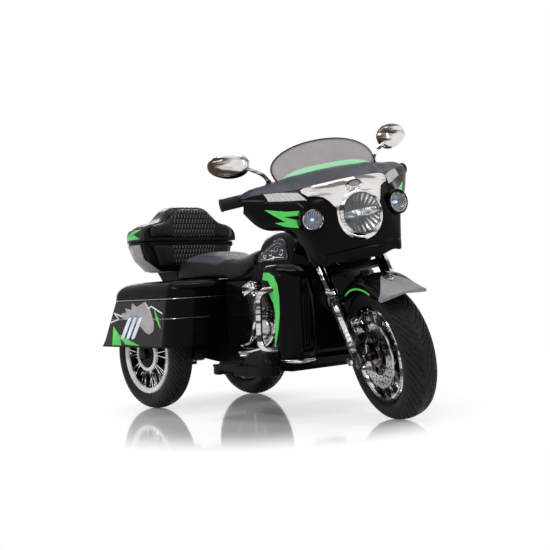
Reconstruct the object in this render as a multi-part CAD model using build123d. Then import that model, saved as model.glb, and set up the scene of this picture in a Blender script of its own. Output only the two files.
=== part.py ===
"""Battery ride-on touring trike for a child: two driven rear wheels, one steered front wheel.

Built in a frame whose origin is on the ground under the middle of the rear axle, X forward,
Y to the rider's left, Z up, millimetres.  Everything is moved at the end so that the origin is
the bottom centre of the whole trike's bounding box.  The middle body reaches a fixed distance
short of the front hub, and what it carries in front is placed back from its front face.
"""
from build123d import *

import math
import os

# ---------------------------------------------------------------- driving dimensions
WHEELBASE = 722.0
REAR_TYRE_R = 150.0
REAR_TYRE_W = 66.0
REAR_TRACK = 340.0
REAR_RIM_R = 108.0
FRONT_TYRE_R = 155.0
FRONT_TYRE_W = 76.0
FRONT_RIM_R = 111.0
RIM_SHARE = 0.78                 # rim width as a share of the tyre's
FLANGE = 12.0                    # height of a rim's lip
REAR_HUB_R = 24.0
FRONT_HUB_R = 22.0
SPOKES = 12
AXLE_R = 6.0
BORE_PLAY = 0.4

RAKE = 27.0                      # steering axis leans back from the vertical by this much
FORK_OFFSET = 20.0               # wheel centre ahead of the steering axis
STEER_AT_REST = -22.0            # the bars stand turned to the rider's right
FORK_SPREAD = 78.0               # fork leg centre from the middle
FORK_LENGTH = 300.0              # wheel centre to the top of the legs
SLIDER_TOP = 150.0               # wheel centre to the top of the lower legs
LEG_R = 18.0
STANCHION_R = 14.5
COLLAR_R = LEG_R + 2
EYE_R = AXLE_R + 9
SWING_GAP = 4.0                  # running room round the legs as the bars turn

STEM_R = 13.0
HEAD_TUBE_R = 21.0
YOKE_LOW = 216.0                 # heights up the legs of the two yokes
YOKE_HIGH = 326.0
YOKE_LOW_T = 16.0
YOKE_HIGH_T = 14.0
YOKE_BOSS_R = 20.0
BEARING_GAP = 2.0
COLUMN_R = 34.0                  # room in the tank round the steering column
GUSSET_HALF = 13.0

DISC_R = 78.0
DISC_T = 4.0
DISC_Y = 33.0                    # middle of the brake disc from the wheel's middle
DISC_HOLE_R = 3.0
DISC_HOLES = ((40, 10), (54, 14), (68, 18))

FENDER_R = 169.0
FENDER_HALF = 53.0
FENDER_WALL = 4.0
FENDER_FRONT = 46.0              # angles of the mudguard's ends, from straight ahead
FENDER_BACK = 128.0
ORNAMENT_AT = 72.0               # angle of the teardrop on the mudguard's crown

BODY_HALF = 70.0                 # half width of the middle body
BODY_WALL = 4.0
BODY_TOP = 336.0
BODY_FLOOR = 140.0
BODY_REAR = -118.0
BODY_SHORT = 176.0               # front face of the body behind the front hub
NECK_TOP = 372.0                 # shoulder of the body under the tank
BODY_FRONT = WHEELBASE - BODY_SHORT

PANNIER_OUT = 240.0              # outer face from the middle
PANNIER_LOW = 171.0
PANNIER_SPLIT = 297.0            # height of the lid line
PANNIER_TOP = 346.0
PANNIER_WALL = 3.5
PANNIER_REAR = -168.0
PANNIER_FRONT = 206.0

TRUNK_FRONT = -38.0
TRUNK_REAR = -172.0
TRUNK_LOW = 373.0
TRUNK_SPLIT = 459.0
TRUNK_HALF = 162.0
TRUNK_FLARE = 34.0               # the box is this much narrower at its foot, each side
TRUNK_CROWN = 562.0
TRUNK_WALL = 4.0
LID_GAP = 1.5
KNUCKLE_R = 5.0
KNUCKLE_HALF = 30.0              # half width of the lid's knuckle, between the box's two
PAD_T = 17.0

SHIELD_TOP = 364.0
SHIELD_OUT = 160.0
SHIELD_WALL = 4.0
SHIELD_GAP = 2.0                 # from the side of the body
CASE_OUT = 112.0                 # outer face of the crankcase
FOOT_TOP = 127.0
FOOT_OUT = 211.0
FOOT_IN = 124.0
FOOT_LOW = 107.0
ARM_TOP = 122.0
GUARD_R = 7.5

FAIRING_WALL = 5.0
HEADLIGHT = (8.0, 474.0)         # lamp face ahead of the front hub, and its height
HEADLIGHT_R = 57.0
HEADLIGHT_DEPTH = 56.0
BEZEL = 4.0
SPOT = (-20.0, 112.0, 480.0)     # ahead of the front hub, from the middle, height
SPOT_R = 31.0
SPOT_DEPTH = 52.0
GRIP_IN = 168.0
GRIP_OUT = 252.0
GRIP_R = 15.0
BAR_R = 9.0
BAR_BACK = 202.0                 # middle of the handlebar behind the front hub
BAR_HEIGHT = 556.0
RISER_SPREAD = 26.0
RISER_R = 8.0
MIRROR = (-192.0, 222.0, 648.0)  # middle of a mirror head, as SPOT
SCREEN_HALF = 124.0
SCREEN_TOP = 659.0
SCREEN_T = 3.5

# Fairing skin, one row of (x, z) from the back of the top to the lower lip at each half width.
# Each x is ahead of the front hub, each z above the ground.
FAIRING_SKIN = {
    0.0: [(-150, 589), (-104, 581), (-40, 554), (-18, 532), (-6, 503), (-4, 456), (-10, 410), (-22, 366)],
    50.0: [(-152, 588), (-108, 580), (-50, 553), (-27, 532), (-13, 503), (-9, 456), (-14, 410), (-25, 366)],
    84.0: [(-155, 587), (-115, 578), (-65, 552), (-44, 532), (-29, 503), (-20, 456), (-23, 410), (-33, 367)],
    100.0: [(-157, 586), (-120, 577), (-76, 551), (-55, 532), (-38, 506), (-30, 474), (-35, 446), (-50, 426)],
    130.0: [(-163, 583), (-132, 574), (-98, 552), (-80, 535), (-65, 512), (-61, 486), (-70, 463), (-92, 449)],
    165.0: [(-171, 578), (-149, 571), (-125, 556), (-113, 543), (-103, 525), (-101, 505), (-111, 487),
            (-130, 475)],
    190.0: [(-178, 573), (-166, 568), (-154, 558), (-146, 548), (-141, 534), (-141, 516), (-149, 499),
            (-164, 488)],
    205.0: [(-184, 564), (-178, 561), (-173, 556), (-170, 549), (-168, 540), (-168, 526), (-172, 513),
            (-179, 504)],
}

SIN, COS = math.sin(math.radians(RAKE)), math.cos(math.radians(RAKE))
FRONT_HUB = Vector(WHEELBASE, 0, FRONT_TYRE_R)
STEER_DIR = Vector(-SIN, 0, COS)
STEER_FOOT = FRONT_HUB - Vector(COS, 0, SIN) * FORK_OFFSET
STEER_AXIS = Axis(STEER_FOOT, STEER_DIR)
BAR_RISE = Vector(WHEELBASE - BAR_BACK, 0, BAR_HEIGHT)
SWING_R = math.hypot(FORK_SPREAD, FORK_OFFSET) + COLLAR_R + SWING_GAP


def nose(x):
    """X of a point given ahead of the front hub."""
    return WHEELBASE + x


def back(x):
    """X of a point given behind the front face of the middle body."""
    return BODY_FRONT - x


# ---------------------------------------------------------------- shared shapes
def block(x0, x1, y0, y1, z0, z1):
    """Box between two corners."""
    return Pos((x0 + x1) / 2, (y0 + y1) / 2, (z0 + z1) / 2) * Box(x1 - x0, y1 - y0, z1 - z0)


def rod(start, end, radius):
    """Round bar between two points."""
    start, end = Vector(*start), Vector(*end)
    run = end - start
    return Solid.make_cylinder(radius, run.length, Plane(origin=start, z_dir=run))


def side_cut(points, y0, y1):
    """Prism of an (x, z) outline between two values of y."""
    plane = Plane(origin=(0, y0, 0), x_dir=(1, 0, 0), z_dir=(0, -1, 0))
    return extrude(plane * make_face(Polyline(*points, close=True)), amount=y1 - y0, dir=(0, 1, 0))


def front_cut(points, x0, x1):
    """Prism of a (y, z) outline between two values of x."""
    plane = Plane(origin=(x0, 0, 0), x_dir=(0, 1, 0), z_dir=(1, 0, 0))
    return extrude(plane * make_face(Polyline(*points, close=True)), amount=x1 - x0, dir=(1, 0, 0))


def top_cut(points, z0, z1):
    """Prism of an (x, y) outline between two values of z."""
    plane = Plane(origin=(0, 0, z0))
    return extrude(plane * make_face(Polyline(*points, close=True)), amount=z1 - z0)


def turned(points, centre, smooth=None):
    """Body of revolution about a line through centre along Y, from (radius, across) points.

    smooth gives the slice of points joined by one spline, the others being joined by lines.
    """
    plane = Plane(origin=centre, x_dir=(1, 0, 0), z_dir=(0, 0, 1))
    if smooth is None:
        outline = Polyline(*points, close=True)
    else:
        first, last = smooth
        outline = Spline(*points[first:last]) + Polyline(*points[last - 1:], *points[:first + 1])
    face = plane * make_face(outline)
    return revolve(face, axis=Axis(centre, (0, 1, 0)), revolution_arc=360)


def lamp(front, depth, radius, lens_r, rise):
    """Round lamp body facing +X at front, with a lens of lens_r bulging forward by rise."""
    ball = (lens_r ** 2 + rise ** 2) / (2 * rise)
    bulge = ThreePointArc((0, lens_r), (rise - ball + (ball ** 2 - lens_r ** 2 / 4) ** 0.5, lens_r / 2),
                          (rise, 0))
    rest = Polyline((rise, 0), (-depth, 0), (-depth, radius), (0, radius), (0, lens_r))
    return Pos(*front) * revolve(make_face(bulge + rest), axis=Axis.X, revolution_arc=360)


def mound(plane, rings):
    """Oval mound on a plane, lofted through (height, half length, half width) rings."""
    return loft([plane.offset(height) * Ellipse(long, short) for height, long, short in rings],
                ruled=True)


def tube(points, radius):
    """Round bar swept along a smooth line through points."""
    path = Spline(*points)
    return sweep(Plane(origin=path @ 0, z_dir=path % 0) * Circle(radius), path=path)


def bent(points, radius, corner):
    """Round bar along straight runs with rounded corners."""
    path = FilletPolyline(*points, radius=corner)
    return sweep(Plane(origin=path @ 0, z_dir=path % 0) * Circle(radius), path=path)


def flip(shape):
    """The same piece for the other side of the trike."""
    return shape.mirror(Plane.XZ)


def one(shape):
    """The largest solid of a shape."""
    return sorted(shape.solids(), key=lambda s: s.volume)[-1]


def fork_point(along, across=0.0, ahead=0.0):
    """Point of the straight fork: along the legs from the hub, across, and ahead of the legs."""
    return FRONT_HUB + STEER_DIR * along + Vector(COS, 0, SIN) * ahead + Vector(0, across, 0)


def fork_frame(along):
    """Plane across the fork at a distance up the legs, its X ahead and Y to the left."""
    return Plane(origin=fork_point(along), x_dir=(COS, 0, SIN), z_dir=(-SIN, 0, COS))


def column(low, high, radius):
    """Round bar on the steering axis between two heights up the legs."""
    return rod(fork_point(low, 0, -FORK_OFFSET), fork_point(high, 0, -FORK_OFFSET), radius)


# ---------------------------------------------------------------- wheels
def tyre(centre, radius, width, rim_r):
    """Tyre with a round crown, open to the rim at the middle."""
    wall = radius - rim_r
    half = width / 2
    bead = half * RIM_SHARE
    points = [
        (rim_r, -bead), (rim_r + 0.22 * wall, -0.96 * half), (rim_r + 0.55 * wall, -half),
        (rim_r + 0.84 * wall, -0.74 * half), (radius, 0), (rim_r + 0.84 * wall, 0.74 * half),
        (rim_r + 0.55 * wall, half), (rim_r + 0.22 * wall, 0.96 * half), (rim_r, bead),
    ]
    return turned(points, centre, smooth=(0, len(points)))


def rim(centre, rim_r, tyre_w, hub_r, hub_half, spoke_w, dish):
    """Wheel rim: barrel with two lips, a dished wall of spokes and a bored hub."""
    half = tyre_w * RIM_SHARE / 2
    lip, well = rim_r - FLANGE, rim_r - FLANGE / 2
    barrel = turned([
        (rim_r, -half), (rim_r, half), (lip, half), (lip, half - 4),
        (well, half - 9), (well, -half + 9), (lip, -half + 4), (lip, -half),
    ], centre)
    bore = AXLE_R + BORE_PLAY
    hub = turned([
        (bore, -hub_half), (bore, hub_half), (hub_r, hub_half), (hub_r + 8, 0), (hub_r, -hub_half),
    ], centre)
    body = barrel + hub
    outer = well + 2
    for k in range(SPOKES):
        arm = Pos((hub_r + outer) / 2, dish, 0) * Box(outer - hub_r, 7, spoke_w)
        body = body + Pos(*centre) * Rot(0, 360 * k / SPOKES, 0) * arm
    return one(body)


def front_wheel():
    """Front tyre, rim and brake disc, wheels straight."""
    c = FRONT_HUB
    rubber = tyre(c, FRONT_TYRE_R, FRONT_TYRE_W, FRONT_RIM_R)
    wheel = rim(c, FRONT_RIM_R, FRONT_TYRE_W, FRONT_HUB_R, 40, 9, -8)
    near, far = -DISC_Y - DISC_T / 2, -DISC_Y + DISC_T / 2
    bore = FRONT_HUB_R + 0.2
    disc = turned([(bore, near), (DISC_R, near), (DISC_R, far), (bore, far)], c)
    for ring, count in DISC_HOLES:
        for k in range(count):
            a = 2 * math.pi * k / count
            spot = c + Vector(ring * math.cos(a), 0, ring * math.sin(a))
            disc = disc - rod(spot + Vector(0, near - 4, 0), spot + Vector(0, far + 4, 0), DISC_HOLE_R)
    return rubber, wheel, one(disc - wheel)


def rear_wheel(side):
    """Rear tyre and rim on one side (side 1 is the rider's left)."""
    c = Vector(0, side * REAR_TRACK / 2, REAR_TYRE_R)
    rubber = tyre(c, REAR_TYRE_R, REAR_TYRE_W, REAR_RIM_R)
    return rubber, rim(c, REAR_RIM_R, REAR_TYRE_W, REAR_HUB_R, 30, 8, side * 6)


# ---------------------------------------------------------------- middle body
def body_outline():
    """Side outline of the middle body: low behind, stepped up to a shoulder under the tank."""
    return [
        (BODY_REAR, 200), (BODY_REAR + 20, BODY_TOP - 4), (BODY_REAR + 30, BODY_TOP),
        (back(228), BODY_TOP), (back(216), NECK_TOP), (back(68), NECK_TOP), (BODY_FRONT, NECK_TOP - 20),
        (BODY_FRONT, BODY_FLOOR + 20), (back(10), BODY_FLOOR), (60, BODY_FLOOR), (-70, BODY_FLOOR + 12),
    ]


def body_shell():
    """Hollow middle body, open below, with the seat shelf and the neck at the front."""
    wall = BODY_WALL
    inner = [
        (BODY_REAR + 6, 205), (BODY_REAR + 26, BODY_TOP - wall), (back(228) + wall, BODY_TOP - wall),
        (back(216) + wall, NECK_TOP - wall), (back(70), NECK_TOP - wall),
        (BODY_FRONT - wall, NECK_TOP - 25), (BODY_FRONT - wall, BODY_FLOOR - 5), (60, BODY_FLOOR - 5),
        (-70, BODY_FLOOR + 7),
    ]
    skin = side_cut(body_outline(), -BODY_HALF, BODY_HALF)
    skin = skin - side_cut(inner, -BODY_HALF + wall, BODY_HALF - wall)
    reach = BODY_HALF + 10
    bore = rod((0, -reach, REAR_TYRE_R), (0, reach, REAR_TYRE_R), AXLE_R)
    slot = block(-AXLE_R - 2, AXLE_R + 2, -reach, reach, BODY_FLOOR - 10, REAR_TYRE_R)
    return one(skin - bore - slot)


def belly_pan():
    """Floor closing the middle body, with a lower keel at the front and arms for the boards."""
    floor = side_cut([
        (60, BODY_FLOOR), (back(10), BODY_FLOOR), (back(16), BODY_FLOOR - 16),
        (back(106), BODY_FLOOR - 20), (150, BODY_FLOOR - 18), (70, BODY_FLOOR - 8),
    ], -BODY_HALF, BODY_HALF)
    arm = block(back(216), back(26), -FOOT_IN, FOOT_IN, ARM_TOP - 9, ARM_TOP)
    brace = block(back(146), back(106), -FOOT_IN - 26, FOOT_IN + 26, ARM_TOP - 9, ARM_TOP - 3)
    return one(floor + arm + brace)


def battery():
    """Battery block standing on the floor of the middle body."""
    return block(150, 300, -50, 50, BODY_FLOOR, 250)


def head_tube():
    """Bearing tube of the steering with the gusset that joins it to the middle body."""
    low = YOKE_LOW + YOKE_LOW_T / 2 + BEARING_GAP
    high = YOKE_HIGH - YOKE_HIGH_T / 2 - BEARING_GAP
    gusset = side_cut([(back(76), 340), (BODY_FRONT, 320), (back(-30), 352), (back(-46), 352),
                       (back(-28), 410), (back(46), 400)], -GUSSET_HALF, GUSSET_HALF)
    bore = column(YOKE_LOW - 66, YOKE_HIGH + 74, STEM_R + BORE_PLAY)
    return one(column(low, high, HEAD_TUBE_R) + gusset - bore
               - side_cut(body_outline(), -BODY_HALF, BODY_HALF))


def tank_cover():
    """Tank between seat and neck: a rounded hollow lid over the body."""
    ridge = [(back(216), NECK_TOP), (back(208), 420), (back(181), 453), (back(131), 456), (back(76), 446),
             (back(21), 392)]
    face = make_face(Spline(*ridge) + Polyline((back(21), 392), (back(24), 359.2), (back(68), NECK_TOP),
                                               (back(216), NECK_TOP)))
    belly = BODY_HALF + 6
    plane = Plane(origin=(0, -belly, 0), x_dir=(1, 0, 0), z_dir=(0, -1, 0))
    body = extrude(plane * face, amount=2 * belly, dir=(0, 1, 0))
    half = [(BODY_HALF, 350), (BODY_HALF, 366), (belly, 376), (belly, 400), (BODY_HALF - 4, 430),
            (BODY_HALF - 24, 449), (20, 458)]
    across = [(-y, z) for y, z in half] + half[::-1]
    body = body & front_cut(across, back(226), back(16))
    body = body - block(back(201), back(41), -BODY_HALF + 8, BODY_HALF - 8, 350, 424)
    gusset = block(back(106), back(-74), -GUSSET_HALF - 0.5, GUSSET_HALF + 0.5, 300, 412)
    room = column(YOKE_LOW - 66, YOKE_HIGH + 94, COLUMN_R)
    return one(body - room - gusset - side_cut(body_outline(), -BODY_HALF, BODY_HALF))


def seat():
    """Saddle pad: low at the middle, rising to the tank, with side skirts over the body edge."""
    nose_x = back(228)
    top = Spline((-8, 340), (2, NECK_TOP), (50, 404), (130, 415), (nose_x - 118, 397),
                 (nose_x - 56, 399), (nose_x, 416))
    foot = Polyline((nose_x, 416), (back(217), NECK_TOP), (nose_x, BODY_TOP), (-8, BODY_TOP), (-8, 340))
    half = BODY_HALF + 18
    plane = Plane(origin=(0, -half, 0), x_dir=(1, 0, 0), z_dir=(0, -1, 0))
    pad = extrude(plane * make_face(top + foot), amount=2 * half, dir=(0, 1, 0))
    edge = [(-12, half - 22), (0, half - 10), (60, half), (150, half - 2), (nose_x - 98, half - 16),
            (nose_x + 12, half - 26)]
    pad = pad & top_cut([(x, -y) for x, y in edge] + edge[::-1], BODY_TOP - 6, 430)
    brim = [(half + 1, BODY_TOP), (half + 1, 372), (half - 8, 396), (half - 32, 412), (0, 417)]
    pad = pad & front_cut([(-y, z) for y, z in brim] + brim[-2::-1], -20, nose_x + 22)
    shelf = block(-30, PANNIER_FRONT + 4, -half - 12, -BODY_HALF, BODY_TOP - 16, PANNIER_TOP)
    return one(pad - shelf - flip(shelf))


def rear_deck():
    """Pedestal carrying the trunk over the middle body."""
    front, rear = TRUNK_FRONT + 10, TRUNK_REAR + 50
    half, wall = BODY_HALF - 2, TRUNK_WALL + 1
    foot = side_cut([(-88, BODY_TOP), (rear, TRUNK_LOW), (front, TRUNK_LOW), (-10, BODY_TOP)], -half, half)
    hollow = side_cut([(-80, BODY_TOP - 1), (rear + 14, TRUNK_LOW - wall), (front - 12, TRUNK_LOW - wall),
                       (-24, BODY_TOP - 1)], -half + 6, half - 6)
    return one(foot - hollow)


# ---------------------------------------------------------------- panniers and trunk
def pannier_plan(inset):
    """Plan outline of the right pannier, all walls drawn in by inset."""
    front = PANNIER_FRONT - inset
    return [
        (PANNIER_REAR + 8 + inset, -BODY_HALF - inset), (PANNIER_REAR + inset, -PANNIER_OUT + 40),
        (PANNIER_REAR + 18 + inset, -PANNIER_OUT + inset), (PANNIER_FRONT - 78, -PANNIER_OUT + inset),
        (front - 56, -PANNIER_OUT + 18), (front, -PANNIER_OUT + 115), (front, -BODY_HALF - inset),
    ]


def pannier():
    """Right pannier, a shell open below for the wheel, closed by its lid."""
    reach = PANNIER_OUT + 10
    skin = top_cut(pannier_plan(0), PANNIER_LOW, PANNIER_SPLIT)
    rake = [(PANNIER_REAR + 8, PANNIER_LOW), (PANNIER_REAR - 2, PANNIER_SPLIT - 5),
            (PANNIER_REAR, PANNIER_SPLIT + 3), (PANNIER_FRONT + 4, PANNIER_SPLIT + 7),
            (PANNIER_FRONT + 8, PANNIER_LOW)]
    skin = skin & side_cut(rake, -reach, -BODY_HALF + 10)
    hollow = top_cut(pannier_plan(PANNIER_WALL), PANNIER_LOW - 5, PANNIER_SPLIT + 5)
    notch = block(-48, 114, -BODY_HALF - 20, -BODY_HALF + 10, PANNIER_LOW - 5, PANNIER_LOW + 25)
    return one(skin - hollow - notch)


def pannier_lid():
    """Lid of the right pannier, a shallow hollow cap with rounded edges."""
    def cap(inset, low):
        """The cap, drawn in by inset on every side and starting at low."""
        top, out, front = PANNIER_TOP - inset, PANNIER_OUT - inset, PANNIER_FRONT - inset
        plan = top_cut(pannier_plan(inset), low, top)
        profile = [(PANNIER_REAR - 1 + inset, low), (PANNIER_REAR - 1 + inset, 302), (-150, top - 24),
                   (-100, top - 9), (-20, top - 3), (140, top), (front - 16, top - 8), (front + 2, 322),
                   (front + 2, low)]
        across = [(-out, low), (-out, 314), (-out + 8, top - 16), (-PANNIER_OUT + 32, top - 4),
                  (-PANNIER_OUT + 70, top), (-BODY_HALF + 10, top), (-BODY_HALF + 10, low)]
        return (plan & side_cut(profile, -PANNIER_OUT - 10, -BODY_HALF + 10)
                & front_cut(across, PANNIER_REAR - 12, PANNIER_FRONT + 14))
    return one(cap(0, PANNIER_SPLIT) - cap(PANNIER_WALL, PANNIER_SPLIT - 1))


def trunk_half(height):
    """Half width of the trunk at a height, wider towards the lid line."""
    share = (height - TRUNK_LOW) / (TRUNK_SPLIT - TRUNK_LOW)
    return TRUNK_HALF - TRUNK_FLARE * (1 - min(1, share))


def hinge_room():
    """Room for the knuckles along the lid's hinge."""
    reach = TRUNK_HALF + 38
    return rod((TRUNK_REAR, -reach, TRUNK_SPLIT), (TRUNK_REAR, reach, TRUNK_SPLIT), KNUCKLE_R + 1)


def knuckle(start, end, low, high):
    """Hinge knuckle between two values of y, with a web to its piece between two heights."""
    return (rod((TRUNK_REAR, start, TRUNK_SPLIT), (TRUNK_REAR, end, TRUNK_SPLIT), KNUCKLE_R)
            + block(TRUNK_REAR - 2, TRUNK_REAR + TRUNK_WALL, start, end, low, high))


def trunk_box():
    """Open trunk box standing on the deck."""
    def tub(inset, low, high):
        """Tapered block, drawn in by inset."""
        a, b = trunk_half(low) - inset, trunk_half(high) - inset
        across = [(-a, low), (-b, high), (b, high), (a, low)]
        along = [(TRUNK_REAR + 14 + inset, low), (TRUNK_REAR + inset, high), (TRUNK_FRONT - inset, high),
                 (TRUNK_FRONT - inset, low)]
        return (front_cut(across, TRUNK_REAR - 28, TRUNK_FRONT + 58)
                & side_cut(along, -TRUNK_HALF - 38, TRUNK_HALF + 38))
    shell = tub(0, TRUNK_LOW, TRUNK_SPLIT) - tub(TRUNK_WALL, TRUNK_LOW + TRUNK_WALL, TRUNK_SPLIT + 5)
    ear = knuckle(-2 * KNUCKLE_HALF, -KNUCKLE_HALF, TRUNK_SPLIT - 12, TRUNK_SPLIT)
    return one(shell - hinge_room() + ear + flip(ear))


def trunk_lid():
    """Hollow lid, its middle raised as a backrest, hinged along the rear edge."""
    def cap(inset, low):
        """Lid block, drawn in by inset."""
        wide, crown = TRUNK_HALF - inset, TRUNK_CROWN - inset
        rear, front = TRUNK_REAR + inset, TRUNK_FRONT - inset
        half = [(wide, low), (wide, crown - 76 + inset), (wide - 12, crown - 59),
                (TRUNK_HALF - 50, crown - 48), (TRUNK_HALF - 78, crown - 28), (TRUNK_HALF - 112, crown)]
        across = [(-y, z) for y, z in half] + half[::-1]
        along = [(rear, low), (rear, 484), (rear + 20, crown - 42), (TRUNK_REAR + 72, crown),
                 (TRUNK_FRONT - 14, crown), (front, 544), (front, low)]
        return (front_cut(across, TRUNK_REAR - 28, TRUNK_FRONT + 58)
                & side_cut(along, -TRUNK_HALF - 38, TRUNK_HALF + 38))
    low = TRUNK_SPLIT + LID_GAP
    shell = cap(0, low) - cap(TRUNK_WALL, low - 1)
    end = KNUCKLE_HALF - 0.5
    return one(shell - hinge_room() + knuckle(-end, end, TRUNK_SPLIT, TRUNK_SPLIT + 14))


def pad(half, depth):
    """Upholstered pad on the front of the trunk from one half of its outline."""
    outline = [(-y, z) for y, z in half] + half[::-1]
    return one(fillet(front_cut(outline, TRUNK_FRONT, TRUNK_FRONT + depth).edges().filter_by(Axis.X), 5))


def backrest_pad():
    """Upper pad, on the front of the lid."""
    wide = TRUNK_HALF - 10
    return pad([(wide - 4, TRUNK_SPLIT + 7), (wide, TRUNK_CROWN - 72), (wide - 12, TRUNK_CROWN - 59),
                (wide - 44, TRUNK_CROWN - 50), (wide - 72, TRUNK_CROWN - 30), (wide - 104, TRUNK_CROWN - 6)],
               PAD_T)


def trunk_back_pad():
    """Lower pad, on the front of the box."""
    foot, head = TRUNK_HALF - TRUNK_FLARE - 8, TRUNK_HALF - 16
    return pad([(foot, TRUNK_LOW + 11), (head, TRUNK_SPLIT - 5)], PAD_T - 2)


def tail_light():
    """Right tail lamp on the rear of the pannier."""
    lens = block(PANNIER_REAR - 10, PANNIER_REAR + 8, -PANNIER_OUT + 20, -PANNIER_OUT + 80,
                 PANNIER_LOW + 54, PANNIER_LOW + 91)
    return one(lens - pannier())


# ---------------------------------------------------------------- front of the chassis
def leg_shield():
    """Right leg shield, a deep shell open behind with a lower engine bay, clear of the fork's swing."""
    inner, wall = BODY_HALF + SHIELD_GAP, SHIELD_WALL
    plan = [(back(84), -inner), (back(84), -SHIELD_OUT + 6), (back(76), -SHIELD_OUT),
            (back(24), -SHIELD_OUT), (back(1), -SHIELD_OUT + 14), (back(-7), -SHIELD_OUT + 50),
            (back(-5), -inner)]
    hollow = [(back(91), -inner - wall), (back(91), -SHIELD_OUT + wall), (back(26), -SHIELD_OUT + wall),
              (back(5), -SHIELD_OUT + 17), (back(-3), -SHIELD_OUT + 50), (back(-1), -inner - wall)]
    side = [(back(72), 366), (back(84), 356), (back(84), 300), (back(48), 240), (back(40), 146),
            (back(-2), 146), (back(-14), 170), (back(-14), 366)]
    skin = top_cut(plan, BODY_FLOOR, SHIELD_TOP) & side_cut(side, -SHIELD_OUT - 40, -inner + 12)
    inside = top_cut(hollow, BODY_FLOOR + 11, SHIELD_TOP - wall) & side_cut(
        [(back(106), SHIELD_TOP - 2), (back(106), 150), (back(2), 150), (back(-10), 172),
         (back(-10), SHIELD_TOP - 2)], -SHIELD_OUT - 40, -inner + 12)
    swing = column(-60, YOKE_HIGH, SWING_R)
    inside = inside - column(-60, YOKE_HIGH, SWING_R + wall)
    root = block(back(84), back(16), -inner, -BODY_HALF, 150, 340)
    return one(skin - inside + root - swing)


def engine():
    """Right half of the dummy V engine: crankcase, two finned barrels and a push rod tube."""
    crank_x, crank_z, mid = back(134), 212, -BODY_HALF - 26
    body = rod((crank_x, -BODY_HALF, crank_z), (crank_x, -CASE_OUT, crank_z), 34)
    body = body + rod((crank_x, -CASE_OUT, crank_z), (crank_x, -CASE_OUT - 10, crank_z), 26)
    for lean, foot_x in ((18, back(144)), (-26, back(116))):
        lean_plane = Pos(foot_x, mid, 232) * Rot(0, lean, 0)
        body = body + lean_plane * Pos(0, 0, 40) * Box(34, 40, 84)
        for k in range(6):
            body = body + lean_plane * Pos(0, 0, 18 + 10 * k) * Box(46, 52, 4)
        body = body + lean_plane * Pos(0, 0, 84) * Box(42, 50, 14)
    rod_y = -CASE_OUT - 14
    body = body + rod((back(150), rod_y, 222), (back(162), rod_y, 300), 5)
    body = body + block(back(168), back(144), rod_y, mid + 6, 296, 306)
    body = body + block(back(158), back(138), rod_y, -CASE_OUT + 12, 214, 226)
    body = body + block(back(151), back(121), mid - 2, -BODY_HALF, 246, 316)
    return one(body)


def crash_bar():
    """Right engine guard, a D of bright tube standing out from the leg shield."""
    out = SHIELD_OUT + 18
    return bent([(back(38), -out + 28, 322), (back(70), -out + 2, 322), (back(88), -out, 296),
                 (back(88), -out, 196), (back(70), -out + 2, 166), (back(38), -out + 28, 166)],
                GUARD_R, 12)


def foot_board():
    """Right foot board with a raised tread."""
    low, step = FOOT_LOW, FOOT_TOP - 5
    rear, front, out = back(236), back(-10), FOOT_OUT
    plate = top_cut([(rear, -out + 11), (rear, -FOOT_IN), (front, -FOOT_IN + 6), (front, -out + 21),
                     (front - 26, -out), (rear + 20, -out)], low, step)
    riser = block(back(76), front, -out + 11, -FOOT_IN + 4, step, FOOT_TOP + 14)
    rib = block(rear + 8, back(84), -out + 7, -FOOT_IN - 4, step, FOOT_TOP - 2)
    tread = block(rear + 16, back(92), -out + 13, -FOOT_IN - 10, FOOT_TOP - 2, FOOT_TOP)
    return one(plate + riser + rib + tread)


def foot_pedal():
    """Bright rocker pedal beside the right foot board's tread."""
    x, y = back(94), -FOOT_IN + 6
    return bent([(x, y, ARM_TOP), (x, y, ARM_TOP + 18), (x - 12, y - 32, ARM_TOP + 28),
                 (x - 48, y - 50, ARM_TOP + 24)], 4, 6)


def rear_axle():
    """Solid axle through the middle body and both rear wheels."""
    reach = REAR_TRACK / 2 + 36
    return rod((0, -reach, REAR_TYRE_R), (0, reach, REAR_TYRE_R), AXLE_R)


def gearbox():
    """Right motor and gearbox against the body, bored for the axle."""
    out = REAR_TRACK / 2 - 52
    case = block(-40, 56, -out, -BODY_HALF, REAR_TYRE_R - 38, REAR_TYRE_R + 38)
    motor = rod((80, -out + 6, REAR_TYRE_R), (80, -BODY_HALF, REAR_TYRE_R), 27)
    boss = rod((0, -out - 16, REAR_TYRE_R), (0, -out, REAR_TYRE_R), AXLE_R + 10)
    bore = rod((0, -out - 22, REAR_TYRE_R), (0, -BODY_HALF + 10, REAR_TYRE_R), AXLE_R)
    return one(case + motor + boss - bore)


# ---------------------------------------------------------------- steered front, drawn straight
def fork_leg(side):
    """One fork leg: slider, bright upper tube and the axle clamp."""
    y = side * FORK_SPREAD
    slider = rod(fork_point(-LEG_R - 4, y), fork_point(SLIDER_TOP, y), LEG_R)
    upper = rod(fork_point(SLIDER_TOP, y), fork_point(FORK_LENGTH, y), STANCHION_R)
    collar = rod(fork_point(SLIDER_TOP - 4, y), fork_point(SLIDER_TOP + 8, y), COLLAR_R)
    eye = rod(fork_point(0, y - COLLAR_R), fork_point(0, y + COLLAR_R), EYE_R)
    bore = rod(fork_point(0, y - 2 * LEG_R - 4), fork_point(0, y + 2 * LEG_R + 4), AXLE_R)
    return one(slider + upper + collar + eye - bore)


def front_axle():
    """Front axle with a button on each end."""
    reach = FORK_SPREAD + COLLAR_R + 5
    axle = rod(fork_point(0, -reach), fork_point(0, reach), AXLE_R)
    knob = rod(fork_point(0, -reach), fork_point(0, -reach + 5), AXLE_R + 3)
    spacer = rod(fork_point(0, -FORK_SPREAD + COLLAR_R), fork_point(0, -42), AXLE_R + 4)
    return one(axle + knob + flip(knob) + spacer + flip(spacer))


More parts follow.
